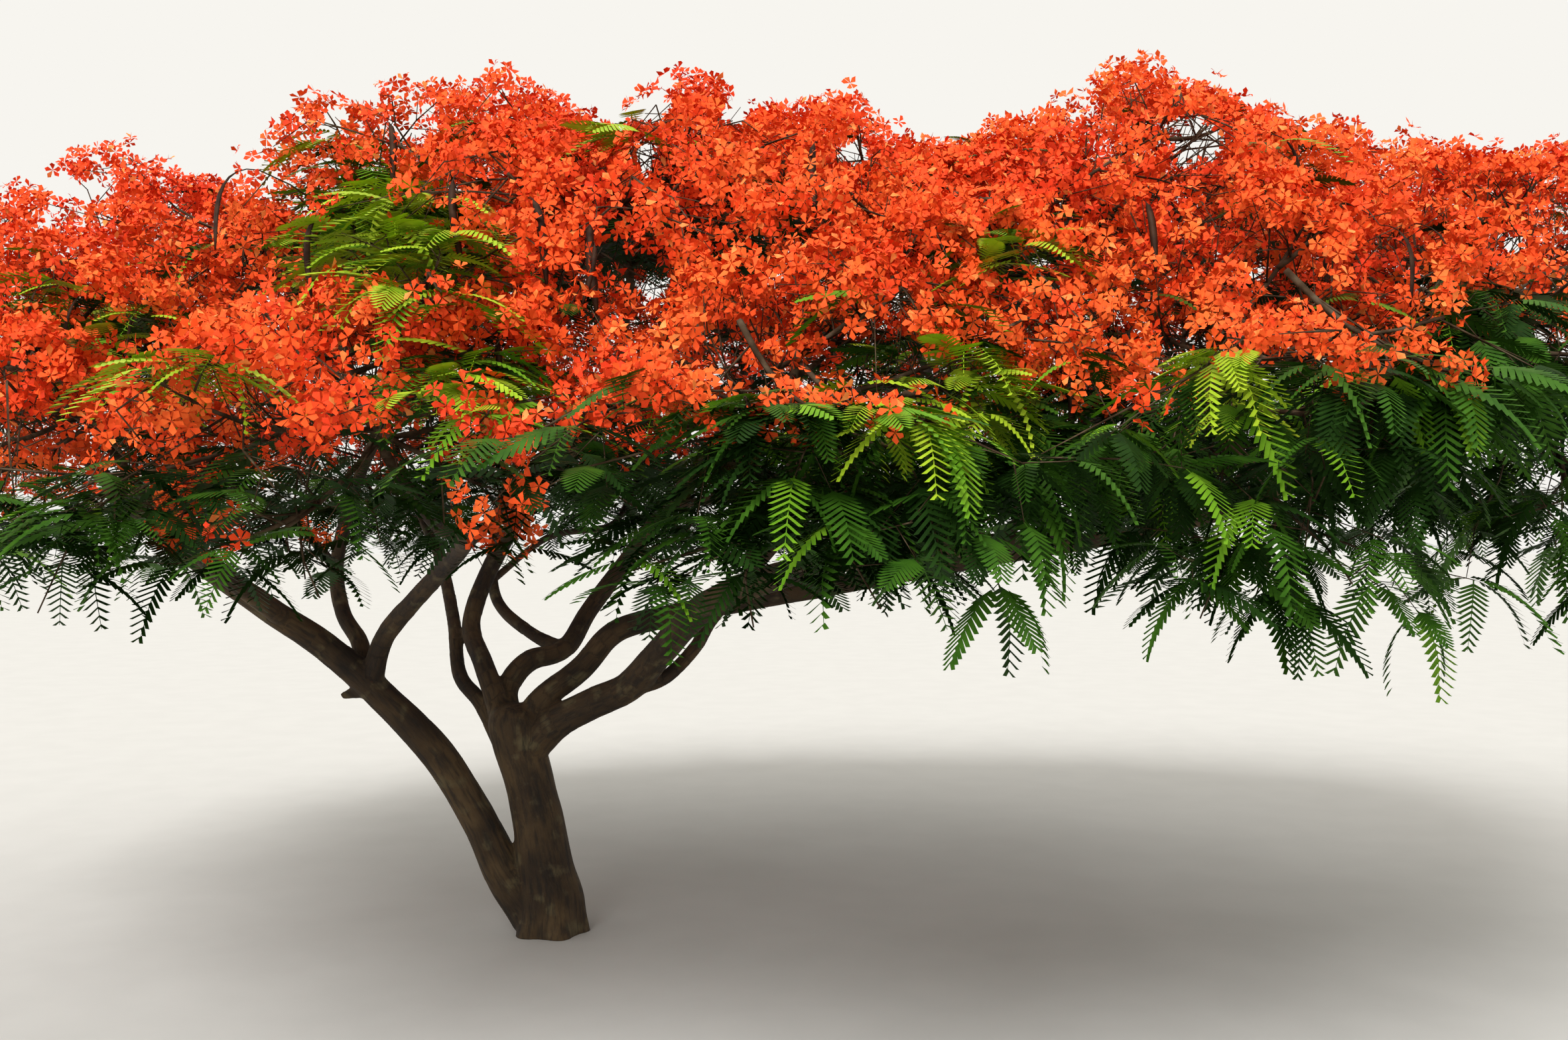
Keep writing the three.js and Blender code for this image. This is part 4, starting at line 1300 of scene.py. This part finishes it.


# Each frond's green: painted light where it stands free towards the light and in the green places of the
# crown's top, painted shade inside and below, with a random scatter
def frondTones(tip, rng):
    look = leafTones
    free, fall = look["light"]
    shade = tips["green"][tip] * look["green"] + np.clip(free - tips["before"][tip] / fall, 0, free)
    shade = shade + rng.uniform(-look["scatter"], look["scatter"], len(tip))
    return np.digitize(shade - look["under"] * (1 - tips["above"][tip]), look["steps"])


fronds, frondTip = growFronds()
leafTone = np.repeat(frondTones(frondTip, rng), len(fronds[1]) // len(frondTip))
frondGroup = [fronds, tips["mass"][frondTip], leafTone]
joinByMass("leaves", [frondGroup], softMaterials(leafTones))

# Flowers: four spreading petals and an upright one that may be streaked, with a sliver for stamens

flowerLook = {
    "seed": 23,
    "cups": [0.30, 0.12, -0.10],
    "perCup": 2,
    # a petal's foot, two corners and tip: distance out, half width and share of the cup's rise
    "petal": [[0.05, 0.74, 0.66, 1.0], [0, 0.33, -0.31, 0.05], [0, 0.6, 0.6, 0.5]],
    "petalTurn": 0.12,
    "crinkle": 0.26,
    "upright": [1.12, 0.45],  # size and lift of the first petal
    "stamens": [0.42, 0.75, 0.05],  # reach out, reach up and half width
    "sizes": [0.046, 0.069],
    "perTip": [8, 11],
    "perShadedTip": [3, 6],
    "shadedFrom": 3,  # other tips in the way
    "hollowFrom": 0.6,
    "hollowDepth": 0.22,
    "domeRadius": [0.05, 0.21],
    "domeTurn": 1.25,
    "along": 0.6,
    "up": 0.35,
    "middleUnder": 0.4,
    "scatter": 0.28,
}
petalTones = {
    "spray": [0.7, 0.9, 31],  # depth, size and number of the noise
    "sprayScatter": 0.15,
    # painted shade: sprays in the hollows between heads take deeper reds
    "hollow": 0.3,
    "scatter": 0.13,
    "steps": [0.02, 0.24, 0.50],
    "streaked": 0.16,
    "vein": 120.0,
    # name, roughness, size of the patches, colours
    "finishes": [
        ["petal_deep", 0.6, 14.0, [(0.700, 0.040, 0.010), (0.770, 0.054, 0.012)]],
        ["petal_red", 0.6, 14.0, [(0.790, 0.055, 0.011), (0.850, 0.075, 0.015)]],
        ["petal_scarlet", 0.6, 14.0, [(0.860, 0.080, 0.015), (0.900, 0.110, 0.020)]],
        ["petal_orange", 0.6, 14.0, [(0.890, 0.118, 0.021), (0.920, 0.160, 0.030)]],
        ["petal_pale", 0.6, 30.0, [(0.880, 0.200, 0.040), (0.900, 0.290, 0.080)]],
        ["stamen", 0.6, 30.0, [(0.480, 0.020, 0.008), (0.600, 0.090, 0.015)]],
    ],
}


# A flower of radius 1 that faces z. Each petal is a narrow foot, a wide pair of corners and a tip,
# turned to its fifth of the circle; it rises by the cup and waves along its edge, and the first one
# is larger and lifted by the square of the distance out
def flowerShape(cup, rng):
    look = flowerLook
    r, half, rise = np.array(look["petal"])
    corners = []
    for petal in range(5):
        scatter = rng.uniform(-look["petalTurn"], look["petalTurn"])
        turn = math.pi / 2 + petal * 2 * math.pi / 5 + scatter
        grow, lift = look["upright"] if petal == 0 else (1.0, 0.0)
        wave = rng.uniform(-look["crinkle"], look["crinkle"], len(r))
        wave[0] = 0
        height = rise * cup + wave + lift * r * r
        x = r * grow * math.cos(turn) - half * math.sin(turn)
        y = r * grow * math.sin(turn) + half * math.cos(turn)
        corners.append(np.stack([x, y, height], axis=1))
    faces = copyFaces(np.array([[0, 2, 1], [1, 2, 3]]), len(r), 5)
    out, up, wide = look["stamens"]
    turn = rng.uniform(0, 2 * math.pi)
    tip = np.array([math.cos(turn) * out, math.sin(turn) * out, up])
    side = np.array([-math.sin(turn), math.cos(turn), 0]) * wide
    corners.append(np.array([side, -side, tip]))
    return np.vstack(corners), np.vstack([faces, [5 * len(r) + np.arange(3)]])


# Flowers on a dome round each blooming tip: a flower's angle from the dome's axis grows with the
# square root of its number, so that they cover it evenly, and it faces out with a little scatter
def growFlowers():
    look = flowerLook
    rng = np.random.default_rng(look["seed"])
    shapes = [flowerShape(cup, rng) for cup in np.repeat(look["cups"], look["perCup"])]
    mine = np.flatnonzero(tips["blooms"])
    (least, most), (fewest, few) = look["perTip"], look["perShadedTip"]
    count = rng.integers(least, most + 1, len(mine))
    fewer = rng.integers(fewest, few + 1, len(mine))
    shaded = (tips["before"][mine] >= look["shadedFrom"]) | (tips["hollow"][mine] > look["hollowFrom"])
    count = np.where(shaded, fewer, count)
    tip, order, twigWay, turn = aroundTips(mine, count, rng)
    massMiddles = np.array([mass["centre"] for mass in masses]) * metre
    fromMiddle = unit(tips["end"][tip] - massMiddles[tips["mass"][tip]] + [0, 0, look["middleUnder"]])
    along = unit(twigWay * look["along"] + fromMiddle + upward * look["up"])
    opened = np.sqrt((order + 0.5) / np.repeat(count, count)) * look["domeTurn"]
    axes = axesAlong(along, turn)
    facing = axes[:, 0] * np.sin(opened)[:, None] + axes[:, 2] * np.cos(opened)[:, None]
    radius = rng.uniform(*look["domeRadius"], len(tip))
    sunk = twigWay * (look["hollowDepth"] * tips["hollow"][tip])[:, None]
    middle = tips["end"][tip] + facing * radius[:, None] - sunk
    facing = unit(facing + rng.normal(0, look["scatter"], facing.shape))
    axes = axesAlong(facing, rng.uniform(0, 2 * math.pi, len(tip)))
    pick = rng.integers(0, len(shapes), len(tip))
    size = rng.uniform(*look["sizes"], len(tip))
    kept = ~inSkyGap(middle)
    return scatterShapes(shapes, pick[kept], middle[kept], axes[kept], size[kept]), tip[kept]


# A tone for each face: a spray takes one red from noise, a deeper one as painted shade in the hollows
# between heads, and a few flowers of a neighbouring tone; the upright petal is pale on some flowers, and
# the stamens have their own
def flowerTones(tip, faces, rng):
    look = petalTones
    depth, size, number = look["spray"]
    spray = valueNoise(tips["end"] / size, number) * depth
    spray = spray + rng.uniform(-look["sprayScatter"], look["sprayScatter"], len(spray))
    # painted shade: deeper reds in the hollows between heads
    spray = spray - tips["hollow"] * look["hollow"]
    tone = spray[tip] + rng.uniform(-look["scatter"], look["scatter"], len(tip))
    tone = np.repeat(np.digitize(tone, look["steps"])[:, None], faces, axis=1)
    pale, stamens = len(look["finishes"]) - 2, len(look["finishes"]) - 1
    streaked = rng.random(len(tip)) < look["streaked"]
    tone[:, :2] = np.where(streaked[:, None], pale, tone[:, :2])
    tone[:, -1] = stamens
    return tone.ravel()


flowers, flowerTip = growFlowers()
flowerTone = flowerTones(flowerTip, len(flowers[1]) // len(flowerTip), rng)
flowerGroup = [flowers, tips["mass"][flowerTip], flowerTone]
joinByMass("blossom", [flowerGroup], softMaterials(petalTones))

# Pods: long flat woody pods that hang from some of the twigs

podLook = {
    "seed": 41,
    "count": 90,
    "outermost": 3,
    "lowest": 4.7,
    "lengths": [0.42, 0.66],
    "meanLength": 0.54,
    "width": 0.050,
    "thickness": 0.018,
    "stalk": 0.22,  # share of the length
    "stalkWidth": 0.006,
    "steps": 9,
    "outward": 0.42,
    "fall": 1.6,
    "swell": 0.45,
    "blunt": 0.97,  # how far of the way to a point the pod's end goes
    "bow": 0.06,
    "sway": 0.1,
    "skin": [(0.022, 0.010, 0.006), (0.055, 0.026, 0.014)],
}


# A pod of length 1 that hangs down z from its foot: it leaves outwards along x, by outward times
# (1 - (1 - s)^3), so that its thin stalk clears the blossom, then swells to a flat lens in section
def podShape(bow):
    look = podLook
    s = np.linspace(0, 1, look["steps"] + 1)
    out = look["outward"] * (1 - (1 - s) ** 3)
    inPod = np.clip((s - look["stalk"]) / (1 - look["stalk"]), 0, 1)
    swell = np.sin(math.pi * inPod * look["blunt"]) ** look["swell"] * (inPod > 0)
    half, thick = [
        np.maximum(look[side] / look["meanLength"] / 2 * swell, look["stalkWidth"])[:, None]
        for side in ("width", "thickness")
    ]
    centre = np.stack([out, bow * np.sin(math.pi * s), -(s ** look["fall"])], axis=1)
    sideways = np.array([0.0, 1.0, 0.0])
    forward = unit(np.cross(np.gradient(centre, axis=0), sideways))
    half, thick = sideways * half, forward * thick
    ring = np.stack([centre + half, centre + thick, centre - half, centre - thick], axis=1)
    return ring.reshape(-1, 3), ringFaces(*ring.shape[:2])


# Pods at the tips nearest the viewer on the lines of sight that show one, and at other outer tips
def growPods():
    look = podLook
    rng = np.random.default_rng(look["seed"])
    place = tips["end"]
    outer = (tips["before"] <= look["outermost"]) & (place[:, 2] > look["lowest"])
    outer = np.flatnonzero(tips["blooms"] & outer)
    front = []
    for away in shareOut(place[outer], shown["pods"]):
        close = outer[away < 1]
        if len(close):
            front.append(close[place[close, 1].argmin()])
    tip = np.concatenate([np.array(front, int), rng.choice(outer, look["count"], replace=False)])
    outwards = unit(tips["towards"][tip] * flat)
    eyeward = unit((np.array(cameraLook["place"]) - place[tip]) * flat)
    outwards[: len(front)] = eyeward[: len(front)]
    aside, ahead = rng.normal(0, look["sway"], len(tip)), rng.normal(0, look["sway"], len(tip))
    down = unit(np.stack([aside, ahead, np.ones(len(tip))], axis=1))
    outwards = unit(outwards - down * (outwards * down).sum(axis=1, keepdims=True))
    axes = np.stack([outwards, np.cross(down, outwards), down], axis=1)
    shapes = [podShape(look["bow"] * way) for way in (-1, 1)]
    pick = rng.integers(0, len(shapes), len(tip))
    return scatterShapes(shapes, pick, place[tip], axes, rng.uniform(*look["lengths"], len(tip))), tip


pods, podTip = growPods()
podSkin = softMaterial(
    "pod_skin", podLook["skin"], roughness=0.6, patch=12.0, vein=70.0, veinDepth=0.003
)
podGroup = [pods, tips["mass"][podTip], np.zeros(len(pods[1]), int)]
joinByMass("pods", [podGroup], [podSkin])

# Camera, floor and light

stageLook = {
    "floor": (0.580, 0.568, 0.538),
    "floorDark": 0.97,
    "floorPatch": 1.5,
    "floorRoughness": 0.9,
    "floorReach": 120,
    "floorHeight": -0.001,
    "sky": (0.98, 0.96, 0.91),
    "skyStrength": 0.95,
    "sunStrength": 3.0,
    "sunSoftness": 0.5,
    "sunTurn": (math.radians(48), 0, math.radians(-22)),
}


# The camera at the photograph's place, nearly level
def addCamera(look):
    data = bpy.data.cameras.new("camera")
    data.lens = look["lens"]
    data.sensor_width = look["sensor"]
    data.clip_end = look["reach"]
    camera = addObject("camera", data)
    camera.location = look["place"]
    camera.rotation_euler = (math.radians(look["tilt"]), 0, 0)
    bpy.context.scene.camera = camera


# A plain pale floor, an even sky and a soft sun
def buildStage(look):
    wide = look["floorReach"] * np.array([[-1, -1, 0], [1, -1, 0], [1, 1, 0], [-1, 1, 0]], float)
    wide[:, 2] = look["floorHeight"]
    add, surface = newMaterial("floor")
    low = tuple(value * look["floorDark"] for value in look["floor"])
    place = add("TexCoord", {}).outputs["Object"]
    colour = noiseColours(add, place, look["floorPatch"], [low, look["floor"]])
    material = surface({"Base Color": colour, "Roughness": look["floorRoughness"]})
    mesh = triangleMesh("floor", wide, np.array([[0, 1, 2], [0, 2, 3]]), [material])
    addObject("floor", mesh)
    world = bpy.data.worlds.new("studio")
    world.use_nodes = True
    background = world.node_tree.nodes["Background"]
    background.inputs["Color"].default_value = (*look["sky"], 1)
    background.inputs["Strength"].default_value = look["skyStrength"]
    bpy.context.scene.world = world
    data = bpy.data.lights.new("sun", "SUN")
    data.energy = look["sunStrength"]
    data.angle = look["sunSoftness"]
    addObject("sun", data).rotation_euler = look["sunTurn"]


addCamera(cameraLook)
buildStage(stageLook)
bpy.context.scene.view_settings.view_transform = "Standard"
print("stage and camera")
